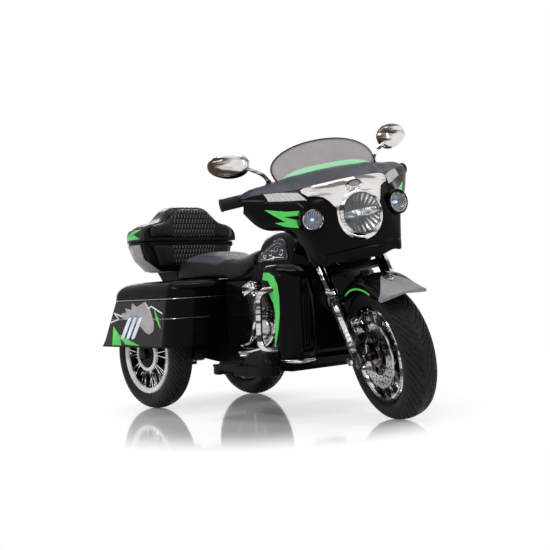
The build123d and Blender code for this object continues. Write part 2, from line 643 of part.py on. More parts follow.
def steering_stem(legs):
    """Stem turning in the head tube, with the two yokes and the bar risers."""
    body = column(YOKE_LOW - 6, YOKE_HIGH + 4, STEM_R)
    width = 2 * FORK_SPREAD + 10
    for height, thick in ((YOKE_LOW, YOKE_LOW_T), (YOKE_HIGH, YOKE_HIGH_T)):
        boss = Pos(-FORK_OFFSET, 0, 0) * Cylinder(YOKE_BOSS_R, thick)
        body = body + fork_frame(height) * (Box(16, width, thick) + boss)
    for side in (-RISER_SPREAD, RISER_SPREAD):
        body = body + rod((nose(-151), side, 445), BAR_RISE + Vector(0, side, 0), RISER_R)
    return one(body - legs[0] - legs[1])


def fairing_bracket(legs, shell):
    """Cross bar in front of the fork legs with an arm forward to the fairing."""
    bar = fork_frame(FORK_LENGTH - 15) * Pos(15, 0, 0) * Box(16, 2 * FORK_SPREAD + 20, 14)
    arm = block(nose(-118), nose(-6), -30, 30, 404, 416)
    return one(bar + arm - legs[0] - legs[1] - shell)


def front_fender():
    """Mudguard over the front tyre with a stay to each fork leg."""
    def band(radius, half):
        """Arch section as (radius, across) points."""
        half_arch = [(FENDER_R - 31, half), (radius - 16, half), (radius - 4, half - 10), (radius, half - 26)]
        return [(r, -y) for r, y in half_arch] + half_arch[::-1]
    outer, inner = band(FENDER_R, FENDER_HALF), band(FENDER_R - FENDER_WALL - 0.5, FENDER_HALF - FENDER_WALL)
    plane = Plane(origin=FRONT_HUB, x_dir=(1, 0, 0), z_dir=(0, 0, 1))
    ring = revolve(plane * make_face(Polyline(*outer, *inner[::-1], close=True)),
                   axis=Axis(FRONT_HUB, (0, 1, 0)), revolution_arc=360)
    far = FENDER_R + 91
    corners = [(WHEELBASE, FRONT_TYRE_R)]
    for reach, degrees in ((far, FENDER_FRONT), (far * 1.3, 90), (far, FENDER_BACK)):
        turn = math.radians(degrees)
        corners.append((WHEELBASE + reach * math.cos(turn), FRONT_TYRE_R + reach * math.sin(turn)))
    wedge = side_cut(corners, -FENDER_HALF - 27, FENDER_HALF + 27)
    fender = ring & wedge
    for side in (-1, 1):
        near, far = FENDER_HALF - 3, FORK_SPREAD - LEG_R + 6
        stay = Pos(0, side * (near + far) / 2, 0) * Box(14, far - near, 22)
        fender = fender + fork_frame(SLIDER_TOP) * stay
    return fender


def fender_ornament():
    """Bright teardrop on top of the mudguard."""
    turn = math.radians(ORNAMENT_AT)
    out = Vector(math.cos(turn), 0, math.sin(turn))
    base = Plane(origin=FRONT_HUB + out * (FENDER_R - 8), x_dir=(math.sin(turn), 0, -math.cos(turn)),
                 z_dir=out)
    drop = mound(base, [(0, 27, 9.5), (11, 26, 9), (16, 21, 7), (19, 12, 4)])
    crown = rod(FRONT_HUB + Vector(0, -26, 0), FRONT_HUB + Vector(0, 26, 0), FENDER_R)
    return one(drop - crown)


def fairing(skin_grow=0.0, wall=FAIRING_WALL, full=False):
    """Fairing skin lofted across the trike; full gives the filled block behind the skin."""
    def section(half, rows):
        """Closed outline of the skin at one distance from the middle."""
        pts = [Vector(nose(x), 0, z) for x, z in rows]
        out, inner = [], []
        for k, p in enumerate(pts):
            run = pts[min(k + 1, len(pts) - 1)] - pts[max(k - 1, 0)]
            out_dir = Vector(-run.Z, 0, run.X).normalized()
            out.append(tuple(p + out_dir * skin_grow))
            inner.append(tuple(p - out_dir * wall))
        if full:
            rear = nose(-BAR_BACK)
            wire = Spline(*out) + Polyline(out[-1], (rear, 0, out[-1][2]), (rear, 0, out[0][2]), out[0])
        else:
            wire = (Spline(*out) + Line(out[-1], inner[-1]) + Spline(*inner[::-1])
                    + Line(inner[0], out[0]))
        return Pos(0, half, 0) * make_face(wire)
    keys = sorted(FAIRING_SKIN)
    rows = [(-k, FAIRING_SKIN[k]) for k in keys[:0:-1]] + [(k, FAIRING_SKIN[k]) for k in keys]
    return one(loft([section(y, r) for y, r in rows], ruled=True))


def caliper(legs):
    """Brake caliper on the inner face of the right fork leg."""
    body = fork_frame(DISC_R) * Pos(-4, -FORK_SPREAD + 27.5, 0) * Box(34, 25, 46)
    return one(body - legs[0] - legs[1])


def headlight():
    """Main lamp: a bucket through the fairing with a slightly domed lens."""
    x, z = HEADLIGHT
    return lamp((nose(x) - BEZEL, 0, z), HEADLIGHT_DEPTH, HEADLIGHT_R, HEADLIGHT_R - BEZEL, 8)


def spot_lamp():
    """Right passing lamp in its cup."""
    x, y, z = SPOT
    return lamp((nose(x) - 3, -y, z), SPOT_DEPTH, SPOT_R + BEZEL, SPOT_R, 6)


def fairing_chrome(skin, lamps):
    """Bright trim on the fairing: a band under the brow and a cup round the main lamp."""
    half = [(104, 554), (98, 533), (72, 524), (60, 506)]
    band = front_cut([(-y, z) for y, z in half[::-1]] + half, nose(-162), nose(38))
    x, z = HEADLIGHT
    reach = HEADLIGHT_R + 11
    cup = (rod((nose(x) - 90, 0, z), (nose(x) + 30, 0, z), reach)
           - block(nose(x) - 130, nose(x) + 60, -reach - 22, reach + 22, z + 40, z + 90))
    trim = skin & (band + cup)
    for piece in lamps:
        trim = trim - piece
    return one(trim)


def turn_signal(skin):
    """Right indicator lens let into the brow edge."""
    return one(skin & front_cut([(-171, 563), (-112, 555), (-106, 537), (-156, 547)], nose(-182), nose(38)))


def windshield(block_below):
    """Curved smoked screen rising from the top of the fairing."""
    edge, crown, half = nose(-156), nose(-118), SCREEN_HALF
    front = ThreePointArc((edge, -half), (crown, 0), (edge, half))
    rear = ThreePointArc((edge - SCREEN_T, half), (crown - SCREEN_T, 0), (edge - SCREEN_T, -half))
    ends = Line((edge, half), (edge - SCREEN_T, half)) + Line((edge - SCREEN_T, -half), (edge, -half))
    base = 574
    rise = SCREEN_TOP - base
    sheet = extrude(Pos(0, 0, base - 14) * make_face(front + rear + ends), amount=rise + 25,
                    dir=(-0.28, 0, 0.96))
    turns = [math.pi * k / 24 for k in range(25)]
    arch = [(-half * math.cos(turn), base + rise * math.sin(turn) ** 0.8) for turn in turns]
    sheet = sheet & front_cut([(-half, base - 34)] + arch + [(half, base - 34)], nose(-222), nose(-22))
    parts = (sheet - block_below).solids()
    return sorted(parts, key=lambda s: s.center().Z)[-1]


def dash_panel(inside):
    """Flat panel closing the back of the fairing above the bars."""
    return one(block(nose(-162), nose(-158), -185, 185, BAR_HEIGHT - 50, BAR_HEIGHT + 44) & inside)


def bar_half():
    """Right half of the handlebar's line, from its end inwards."""
    x, z = BAR_RISE.X, BAR_RISE.Z
    return [Vector(x - 20, -GRIP_OUT + 2, z - 3), Vector(x - 4, -GRIP_IN, z), Vector(x, -90, z)]


def handlebar():
    """Handlebar from grip to grip, sweeping back a little at each end."""
    half = bar_half()
    line = half + [Vector(p.X, -p.Y, p.Z) for p in half[::-1]]
    return bent([tuple(p) for p in line], BAR_R, 30)


def grip(bar):
    """Right hand grip with an end flange, bored for the bar."""
    start, end, _ = bar_half()
    run = (end - start).normalized()
    sleeve = rod(start - run * 2, end - run * 4, GRIP_R)
    flange = rod(start - run * 3, start + run * 4, GRIP_R + 5)
    inner = rod(end - run * 10, end - run * 3, GRIP_R + 3)
    return one(sleeve + flange + inner - bar)


def mirror_piece(block_below):
    """Right mirror: clamp, curved stem and an oval head, flat behind for the glass."""
    x, y, z = MIRROR
    plane = Plane(origin=(0, 0, 0), x_dir=(0, 1, 0), z_dir=(1, 0, 0))
    bowl = mound(plane, [(0, 57, 34), (7, 56, 33), (14, 50, 28), (20, 38, 20), (23, 22, 10)])
    head = Pos(nose(x) - 4, -y, z) * Rot(0, -12, -6) * bowl
    foot = Vector(nose(x) + 48, -y + 59, z - 82)
    stem = tube([tuple(foot + step) for step in (Vector(0, 0, 0), Vector(-4, -3, 26), Vector(-16, -23, 47),
                                                 Vector(-33, -43, 68))], 4.6)
    clamp = rod(foot, foot + Vector(-1.5, -1, 18), 9)
    return one(one(head + stem + clamp) - block_below)


# ---------------------------------------------------------------- assembly
def both(name, shape):
    """A piece and its mirror image under their two names."""
    return {name + "_right": shape, name + "_left": flip(shape)}


def fixed_pieces():
    """Everything carried by the middle body."""
    pan, shield = belly_pan(), leg_shield()
    parts = {
        "body_shell": body_shell(), "belly_pan": pan, "battery": battery(), "head_tube": head_tube(),
        "tank_cover": tank_cover(), "seat": seat(), "rear_deck": rear_deck(),
        "trunk_box": trunk_box(), "trunk_back_pad": trunk_back_pad(), "foot_pedal": foot_pedal(),
        "rear_axle": rear_axle(),
    }
    for name, shape in (
            ("pannier", pannier()), ("pannier_lid", pannier_lid()), ("tail_light", tail_light()),
            ("leg_shield", shield), ("engine", one(engine() - shield)),
            ("crash_bar", one(crash_bar() - shield)), ("foot_board", one(foot_board() - pan)),
            ("gearbox", gearbox())):
        parts.update(both(name, shape))
    return parts


def steered_pieces():
    """Everything that turns with the bars, drawn straight ahead."""
    legs = (fork_leg(-1), fork_leg(1))
    lamp_piece, spot = headlight(), spot_lamp()
    lamps = (lamp_piece, spot, flip(spot))
    shell, filled = fairing(), fairing(full=True)
    skin = fairing(skin_grow=2.8, wall=-0.2)
    shell_cut = shell
    for piece in lamps:
        shell_cut = shell_cut - piece
    bar = handlebar()
    parts = {
        "fork_leg_right": legs[0], "fork_leg_left": legs[1], "front_axle": front_axle(),
        "steering_stem": one(steering_stem(legs) - bar),
        "fairing_bracket": fairing_bracket(legs, shell), "brake_caliper": caliper(legs),
        "front_fender": one(front_fender() - legs[0] - legs[1]), "fender_ornament": fender_ornament(),
        "fairing_shell": one(shell_cut), "headlight": lamp_piece,
        "fairing_chrome": fairing_chrome(skin, lamps), "windshield": windshield(filled),
        "dash_panel": dash_panel(filled - shell), "handlebar": bar,
    }
    for name, shape in (("spot_lamp", spot), ("turn_signal", turn_signal(skin)), ("grip", grip(bar)),
                        ("mirror", mirror_piece(filled))):
        parts.update(both(name, shape))
    return parts


def wheel_pieces():
    """Wheels that spin on their own axles, the front one drawn straight ahead."""
    rubber, wheel, disc = front_wheel()
    front = {"front_tyre": rubber, "front_rim": wheel, "brake_disc": disc}
    rear = {}
    for name, side in (("right", -1), ("left", 1)):
        rear["rear_tyre_" + name], rear["rear_rim_" + name] = rear_wheel(side)
    return front, rear


def build():
    """All pieces in the handed-in frame, and the shift from the rear axle frame to it."""
    front, rear = wheel_pieces()
    parts = {**fixed_pieces(), **rear, "trunk_lid": trunk_lid(), "backrest_pad": backrest_pad()}
    for name, shape in {**steered_pieces(), **front}.items():
        parts[name] = shape.rotate(STEER_AXIS, STEER_AT_REST)
    boxes = [shape.bounding_box() for shape in parts.values()]
    low = [min(tuple(box.min)[k] for box in boxes) for k in range(3)]
    high = [max(tuple(box.max)[k] for box in boxes) for k in range(3)]
    shift = Vector(-(low[0] + high[0]) / 2, -(low[1] + high[1]) / 2, -low[2])
    return {name: Pos(*shift) * shape for name, shape in parts.items()}, shift


def main():
    """Writes one STEP file per piece."""
    os.makedirs("parts", exist_ok=True)
    parts, shift = build()
    print("shift from the rear axle frame", [round(v, 3) for v in tuple(shift)])
    for name, shape in parts.items():
        export_step(shape, "parts/" + name + ".step")


if __name__ == "__main__":
    main()
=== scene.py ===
"""Battery ride-on touring trike for a child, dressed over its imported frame.

Shapes are drawn in millimetres in the rear axle frame: the origin is on the ground under the
middle of the rear axle, X forward, Y to the rider's left, Z up, with the bars straight ahead.
Pieces of the steered front are turned to the resting angle when they are made.
"""

import logging
import math
from dataclasses import dataclass, field
from enum import Enum
from functools import lru_cache
from typing import Callable, Iterable, Optional, Sequence, Union

import bmesh
import bpy
import numpy as np
from mathutils import Matrix, Vector


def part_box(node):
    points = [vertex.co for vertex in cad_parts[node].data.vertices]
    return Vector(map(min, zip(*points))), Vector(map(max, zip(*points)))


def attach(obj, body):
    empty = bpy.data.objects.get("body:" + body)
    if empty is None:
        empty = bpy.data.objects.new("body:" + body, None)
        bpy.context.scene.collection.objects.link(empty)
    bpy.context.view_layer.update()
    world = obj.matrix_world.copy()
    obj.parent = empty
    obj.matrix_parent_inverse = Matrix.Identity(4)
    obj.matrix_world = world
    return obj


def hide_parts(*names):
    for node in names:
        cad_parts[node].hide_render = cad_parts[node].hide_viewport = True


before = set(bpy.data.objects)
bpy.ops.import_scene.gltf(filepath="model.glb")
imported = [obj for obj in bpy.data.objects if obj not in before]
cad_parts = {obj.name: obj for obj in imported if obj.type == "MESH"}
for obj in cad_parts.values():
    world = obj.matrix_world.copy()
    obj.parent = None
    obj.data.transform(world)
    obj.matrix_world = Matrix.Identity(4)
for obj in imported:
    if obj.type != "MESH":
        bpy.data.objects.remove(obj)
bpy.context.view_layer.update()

LOG = logging.getLogger("trike")
Arr = np.ndarray
Number = Union[int, float]
Point = Sequence[float]
Points = Sequence[Sequence[float]]
Value = Union["Socket", int, float]
MM = 0.001
TAU = 2 * math.pi
AHEAD = (1, 0, 0)
LEFTWARD = (0, 1, 0)
RIGHTWARD = (0, -1, 0)
UP = (0, 0, 1)


class Body(Enum):
    """Moving bodies of the frame."""

    CHASSIS = "chassis"
    STEERING = "steering"
    FRONT_WHEEL = "front_wheel"
    REAR_RIGHT = "rear_wheel_right"
    REAR_LEFT = "rear_wheel_left"
    LID = "trunk_lid"


class Side(Enum):
    """Side of the trike, by the sign of Y."""

    RIGHT = -1
    LEFT = 1

    @property
    def word(self) -> str:
        """Name used at the end of a piece's name."""
        return self.name.lower()


# ------------------------------------------------------------------ layout
@dataclass(frozen=True)
class Layout:
    """Driving sizes shared by the sub-assemblies, in millimetres and degrees."""

    wheelbase: float = 722.0
    rear_r: float = 150.0
    rear_w: float = 66.0
    rear_y: float = 170.0
    rear_rim: float = 108.0
    front_r: float = 155.0
    front_w: float = 76.0
    front_rim: float = 111.0
    rake: float = 27.0
    fork_offset: float = 20.0
    turn: float = -22.0
    fork_spread: float = 78.0

    @property
    def up_fork(self) -> Arr:
        """Unit direction of the steering axis."""
        lean = math.radians(self.rake)
        return np.array([-math.sin(lean), 0.0, math.cos(lean)])

    @property
    def ahead(self) -> Arr:
        """Unit direction ahead of the fork, square to the steering axis."""
        lean = math.radians(self.rake)
        return np.array([math.cos(lean), 0.0, math.sin(lean)])

    @property
    def front_hub(self) -> Arr:
        """Centre of the front wheel, bars straight."""
        return np.array([self.wheelbase, 0.0, self.front_r])

    @property
    def steer_foot(self) -> Arr:
        """Point of the steering axis level with the front hub."""
        return self.front_hub - self.ahead * self.fork_offset

    def fork(self, along: Number, across: Number = 0.0, ahead: Number = 0.0) -> Arr:
        """Point of the straight fork: up the legs from the hub, across, and ahead of the legs."""
        spot = self.front_hub + self.up_fork * along + self.ahead * ahead
        return spot + np.array([0.0, across, 0.0])


LAYOUT = Layout()


def row_shift() -> Arr:
    """Place of the rear axle frame's origin in the row frame, in metres, from the axle node."""
    low, high = (np.array(corner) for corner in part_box("rear_axle"))
    return (low + high) / 2 - np.array([0.0, 0.0, LAYOUT.rear_r * MM])


SHIFT = row_shift()


def turn_about(points: Arr, origin: Arr, axis: Arr, degrees: float) -> Arr:
    """Points turned about an axis by the right-hand rule (Rodrigues' formula)."""
    angle = math.radians(degrees)
    k = axis / np.linalg.norm(axis)
    p = points - origin
    dot = p @ k
    turned = p * math.cos(angle) + np.cross(k, p) * math.sin(angle)
    return turned + k * dot[..., None] * (1 - math.cos(angle)) + origin


def to_row(points: Arr, body: Body) -> Arr:
    """Millimetres of the rear axle frame to metres of the row frame, steered parts turned."""
    p = np.asarray(points, float)
    if body in (Body.STEERING, Body.FRONT_WHEEL):
        p = turn_about(p, LAYOUT.steer_foot, LAYOUT.up_fork, LAYOUT.turn)
    return p * MM + SHIFT


def place_of(x: Number) -> tuple[float, float]:
    """Row frame X and Y, in metres, of a point on the middle line of the chassis."""
    return float(x * MM + SHIFT[0]), float(SHIFT[1])


# ------------------------------------------------------------------ shapes
@dataclass
class Shape:
    """Vertices with four- and three-sided faces, and a place on the surface for each vertex."""

    verts: Arr
    quads: Arr = field(default_factory=lambda: np.zeros((0, 4), int))
    tris: Arr = field(default_factory=lambda: np.zeros((0, 3), int))
    uv: Optional[Arr] = None

    def __add__(self, other: "Shape") -> "Shape":
        """Both shapes in one mesh."""
        n = len(self.verts)
        uv = None
        if self.uv is not None and other.uv is not None:
            uv = np.vstack([self.uv, other.uv])
        return Shape(np.vstack([self.verts, other.verts]),
                     np.vstack([self.quads, other.quads + n]),
                     np.vstack([self.tris, other.tris + n]), uv)

    def moved(self, x: Number = 0, y: Number = 0, z: Number = 0) -> "Shape":
        """The shape shifted."""
        return Shape(self.verts + np.array([x, y, z], float), self.quads, self.tris, self.uv)

    def turned(self, degrees: float, axis: Point) -> "Shape":
        """The shape turned about an axis through the origin."""
        verts = turn_about(self.verts, np.zeros(3), np.array(axis, float), degrees)
        return Shape(verts, self.quads, self.tris, self.uv)

    def mirrored(self) -> "Shape":
        """The same shape on the other side of the trike, its faces turned to stay outward."""
        return Shape(self.verts * np.array([1, -1, 1]), self.quads[:, ::-1], self.tris[:, ::-1],
                     self.uv)

    def on(self, side: Side) -> "Shape":
        """A right-hand shape placed on the given side."""
        return self if side is Side.RIGHT else self.mirrored()


def join(shapes: Iterable[Shape]) -> Shape:
    """Several shapes in one mesh."""
    shapes = list(shapes)
    total = shapes[0]
    for shape in shapes[1:]:
        total = total + shape
    return total


def grid(points: Arr, wrap_u: bool = False, wrap_v: bool = False, caps: bool = False) -> Shape:
    """Mesh of a grid of points, vertex (i, j) joined to (i+1, j) and (i, j+1).

    Args:
        points: Array of nu by nv points.
        wrap_u: Joins the last row to the first.
        wrap_v: Joins the last column to the first.
        caps: Closes the first and last rows, each with a fan to its mean point.

    Returns:
        The mesh, with (i, j) as shares of the grid for its place on the surface.
    """
    nu, nv = points.shape[:2]
    index = np.arange(nu * nv).reshape(nu, nv)
    iu = np.arange(nu if wrap_u else nu - 1)
    iv = np.arange(nv if wrap_v else nv - 1)
    a = index[np.ix_(iu, iv)]
    b = index[np.ix_((iu + 1) % nu, iv)]
    c = index[np.ix_((iu + 1) % nu, (iv + 1) % nv)]
    d = index[np.ix_(iu, (iv + 1) % nv)]
    quads = np.stack([a, b, c, d], -1).reshape(-1, 4)
    share_u, share_v = np.meshgrid(np.linspace(0, 1, nu), np.linspace(0, 1, nv), indexing="ij")
    uv = np.stack([share_u, share_v], -1).reshape(-1, 2)
    verts = points.reshape(-1, 3)
    tris = np.zeros((0, 3), int)
    if caps:
        ends = []
        for row, reverse in ((0, False), (nu - 1, True)):
            centre = len(verts)
            verts = np.vstack([verts, points[row].mean(0)])
            uv = np.vstack([uv, uv[index[row]].mean(0)])
            ring = index[row]
            following = np.roll(ring, -1)
            fan = np.stack([np.full(nv, centre), ring, following], -1)
            ends.append(fan[:, ::-1] if reverse else fan)
        tris = np.vstack(ends)
    return Shape(verts, quads, tris, uv)


def normals(points: Arr) -> Arr:
    """Unit normals of a grid of points: the cross product of its two central differences."""
    n = np.cross(np.gradient(points, axis=0), np.gradient(points, axis=1))
    return n / np.maximum(np.linalg.norm(n, axis=-1, keepdims=True), 1e-9)


def slab(front: Arr, back: Arr) -> Shape:
    """Closed slab between two grids of points, its first and last rows fanned to their means."""
    return grid(np.concatenate([front, back[:, ::-1]], axis=1), wrap_v=True, caps=True)


def shell(points: Arr, wall: float) -> Shape:
    """Closed wall on a grid of points, grown by wall along the normals."""
    return slab(points, points + normals(points) * wall)


def cubic(knots: Arr, values: Arr, at: Arr) -> Arr:
    """Natural cubic spline: piecewise cubics with continuous bend, straight at both ends.

    Args:
        knots: Rising places of the values.
        values: Array whose first axis runs over the knots.
        at: Places wanted.

    Returns:
        Values at the places, along the first axis.
    """
    h = np.diff(knots)
    n = len(knots)
    flat = values.reshape(n, -1)
    inner = np.arange(1, n - 1)
    system, right = np.eye(n), np.zeros_like(flat)
    system[inner, inner - 1], system[inner, inner], system[inner, inner + 1] = (
        h[:-1], 2 * (h[:-1] + h[1:]), h[1:])
    rise = np.diff(flat, axis=0) / h[:, None]
    right[1:-1] = 6 * np.diff(rise, axis=0)
    bend = np.linalg.solve(system, right)
    k = np.clip(np.searchsorted(knots, at, side="right") - 1, 0, n - 2)
    a, b, w = (knots[k + 1] - at)[:, None], (at - knots[k])[:, None], h[k][:, None]
    got = ((bend[k] * a ** 3 + bend[k + 1] * b ** 3) / (6 * w)
           + (flat[k] / w - bend[k] * w / 6) * a
           + (flat[k + 1] / w - bend[k + 1] * w / 6) * b)
    return got.reshape(len(at), *values.shape[1:])


def spline(points: Points, samples: int) -> Arr:
    """Smooth line through points, a cubic spline over a softened chord length."""
    p = np.asarray(points, float)
    softened = np.linalg.norm(np.diff(p, axis=0), axis=1) ** 0.75
    chord = np.concatenate([[0], np.cumsum(softened)])
    return cubic(chord, p, np.linspace(chord[0], chord[-1], samples))


def frames_along(path: Arr, up: Point) -> tuple[Arr, Arr]:
    """Two unit directions square to a path at each point: across, and the rest of up."""
    tangent = np.gradient(path, axis=0)
    tangent /= np.linalg.norm(tangent, axis=1, keepdims=True)
    across = np.cross(tangent, np.array(up, float))
    across /= np.linalg.norm(across, axis=1, keepdims=True)
    return across, np.cross(across, tangent)


def sweep(path: Arr, section: Arr, up: Point = UP, scale: Optional[Arr] = None) -> Shape:
    """A closed section of (across, up) points carried along a path, its ends closed."""
    across, rise = frames_along(path, up)
    size = np.ones(len(path)) if scale is None else scale
    points = (path[:, None] + across[:, None] * section[None, :, :1] * size[:, None, None]
              + rise[:, None] * section[None, :, 1:] * size[:, None, None])
    return grid(points, wrap_v=True, caps=True)


def circle(radius: float, sides: int = 24) -> Arr:
    """Points of a circle."""
    t = np.arange(sides) * TAU / sides
    return radius * np.stack([np.cos(t), np.sin(t)], -1)


def squarish(half_a: float, half_b: float, power: float = 4.0, sides: int = 40) -> Arr:
    """Superellipse |x/a|^p + |y/b|^p = 1, rounder for a smaller power."""
    t = np.arange(sides) * TAU / sides
    c, s = np.cos(t), np.sin(t)
    return np.stack([half_a * np.sign(c) * np.abs(c) ** (2 / power),
                     half_b * np.sign(s) * np.abs(s) ** (2 / power)], -1)


def tube(path: Points, radius: Union[float, Point], samples: int = 40, sides: int = 20,
         up: Point = UP) -> Shape:
    """Round tube along a smooth line, its radius given at one or several even stations."""
    line = spline(path, samples)
    stations = np.atleast_1d(np.asarray(radius, float))
    size = np.interp(np.linspace(0, 1, samples), np.linspace(0, 1, len(stations)), stations)
    return sweep(line, circle(1.0, sides), up, size)


def straight(start: Point, end: Point, radius: float, sides: int = 24,
             up: Point = (0.1, 0.2, 1)) -> Shape:
    """Round bar between two points with slightly rounded ends."""
    a, b = np.array(start, float), np.array(end, float)
    run = b - a
    length = np.linalg.norm(run)
    lip = min(0.12 * radius, length / 4)
    stations = np.array([0, lip * 0.3, lip, length - lip, length - lip * 0.3, length]) / length
    sizes = np.array([radius - lip, radius - 0.3 * lip, radius])
    sizes = np.concatenate([sizes, sizes[::-1]])
    across, rise = frames_along(np.stack([a, b]), up)
    ring = circle(1.0, sides)
    points = ((a + run * stations[:, None])[:, None]
              + sizes[:, None, None] * (ring[None, :, :1] * across[0] + ring[None, :, 1:] * rise[0]))
    return grid(points, wrap_v=True, caps=True)


def lathe(profile: Points, centre: Point = (0, 0, 0), axis: Point = LEFTWARD,
          segments: int = 96) -> Shape:
    """Ring turned from a closed profile of (radius, along) points about an axis."""
    p = np.asarray(profile, float)
    k = np.array(axis, float) / np.linalg.norm(axis)
    side = np.cross(k, UP if abs(k[2]) < 0.9 else AHEAD)
    side /= np.linalg.norm(side)
    third = np.cross(k, side)
    t = np.radians(np.linspace(0, 360, segments, endpoint=False))
    arm = np.cos(t)[:, None] * side + np.sin(t)[:, None] * third
    points = np.array(centre, float) + p[None, :, :1] * arm[:, None] + p[None, :, 1:] * k
    return grid(points, wrap_u=True, wrap_v=True)


def plate(outline: Arr, thickness: float, origin: Point, across: Point, up: Point,
          bevel: float = 1.2) -> Shape:
    """Flat plate of an (across, up) outline, its edges rounded by three inset rings a side.

    Args:
        outline: Closed outline, any way round.
        thickness: Height of the plate along across x up.
        origin: Place of the outline's (0, 0) on the lower face.
        across: Unit direction of the outline's first coordinate.
        up: Unit direction of the outline's second coordinate.
        bevel: Radius of the rounded edge.

    Returns:
        The closed plate.
    """
    p = np.asarray(outline, float)
    edge = np.roll(p, -1, 0) - np.roll(p, 1, 0)
    area = np.sum(p[:, 0] * np.roll(p[:, 1], -1) - np.roll(p[:, 0], -1) * p[:, 1])
    inward = np.stack([-edge[:, 1], edge[:, 0]], -1) * (1 if area > 0 else -1)
    inward /= np.maximum(np.linalg.norm(inward, axis=1, keepdims=True), 1e-9)
    bevel = min(bevel, thickness / 2.01)
    a, b = np.array(across, float), np.array(up, float)
    n = np.cross(a, b)
    rings = [(inset * bevel, height * bevel) for inset, height in ((1, 0), (0.3, 0.3), (0, 1))]
    rings += [(inset, thickness - height) for inset, height in rings[::-1]]
    points = np.stack([np.array(origin, float) + (p + inward * inset)[:, :1] * a
                       + (p + inward * inset)[:, 1:] * b + n * height for inset, height in rings])
    return grid(points, wrap_v=True, caps=True)


def level_plate(outline: Arr, thickness: float, z: float, bevel: float = 1.2,
                x: float = 0, y: float = 0) -> Shape:
    """Level plate of an (x, y) outline, its lower face at z."""
    return plate(outline, thickness, (x, y, z), AHEAD, LEFTWARD, bevel)


def block(low: Point, high: Point, bevel: float = 2.0, power: float = 8.0,
          sides: int = 48) -> Shape:
    """Rounded block between two corners: a superellipse plate along Z."""
    low, high = np.array(low, float), np.array(high, float)
    middle, half = (low + high) / 2, (high - low) / 2
    outline = squarish(half[0], half[1], power, sides)
    return level_plate(outline, 2 * half[2], low[2], bevel, middle[0], middle[1])


def at_station(x: float, ring: Arr) -> Arr:
    """Points of a ring of (y, z) places at one X."""
    return np.column_stack([np.full(len(ring), float(x)), ring])


def at_height(z: float, plan: Arr) -> Arr:
    """Points of a plan of (x, y) places at one height."""
    return np.column_stack([plan, np.full(len(plan), float(z))])


def on_side(x: Arr, y: Arr, z: Arr) -> Arr:
    """Points of the right-hand side at distances y out from the middle."""
    return np.stack([x, -y, z], -1)


def rings_loft(rings: Sequence[Arr]) -> Shape:
    """Closed loft through rings of the same number of points, both ends closed."""
    return grid(np.stack(rings), wrap_v=True, caps=True)


# ------------------------------------------------------------------ shader maths
class Socket:
    """A shader value that takes part in Python arithmetic; each operation adds a Math node."""

    def __init__(self, tree: "Tree", link: bpy.types.NodeSocket) -> None:
        """Keeps the tree and the output socket."""
        self.tree, self.link = tree, link

    def _math(self, operation: str, *values: Value) -> "Socket":
        """Adds one Math node."""
        settings = {"operation": operation}
        return self.tree.node("ShaderNodeMath", settings, dict(enumerate(values)))[0]

    def __add__(self, other: Value) -> "Socket":
        """self + other."""
        return self._math("ADD", self, other)

    __radd__ = __add__

    def __sub__(self, other: Value) -> "Socket":
        """self - other."""
        return self._math("SUBTRACT", self, other)

    def __rsub__(self, other: Number) -> "Socket":
        """other - self."""
        return self._math("SUBTRACT", other, self)

    def __mul__(self, other: Value) -> "Socket":
        """self * other."""
        return self._math("MULTIPLY", self, other)

    __rmul__ = __mul__

    def __truediv__(self, other: Value) -> "Socket":
        """self / other."""
        return self._math("DIVIDE", self, other)

    def __abs__(self) -> "Socket":
        """Absolute value."""
        return self._math("ABSOLUTE", self)

    def frac(self) -> "Socket":
        """Fractional part."""
        return self._math("FRACT", self)

    def sine(self) -> "Socket":
        """Sine of radians."""
        return self._math("SINE", self)

    def at_most(self, other: Value) -> "Socket":
        """The smaller of two values."""
        return self._math("MINIMUM", self, other)

    def at_least(self, other: Value) -> "Socket":
        """The larger of two values."""
        return self._math("MAXIMUM", self, other)

    def step(self, low: float, high: float, first: float = 0.0, last: float = 1.0) -> "Socket":
        """Smooth step from first at low to last at high."""
        return self.tree.node("ShaderNodeMapRange", {"interpolation_type": "SMOOTHSTEP"},
                              {"Value": self, "From Min": low, "From Max": high,
                               "To Min": first, "To Max": last})[0]


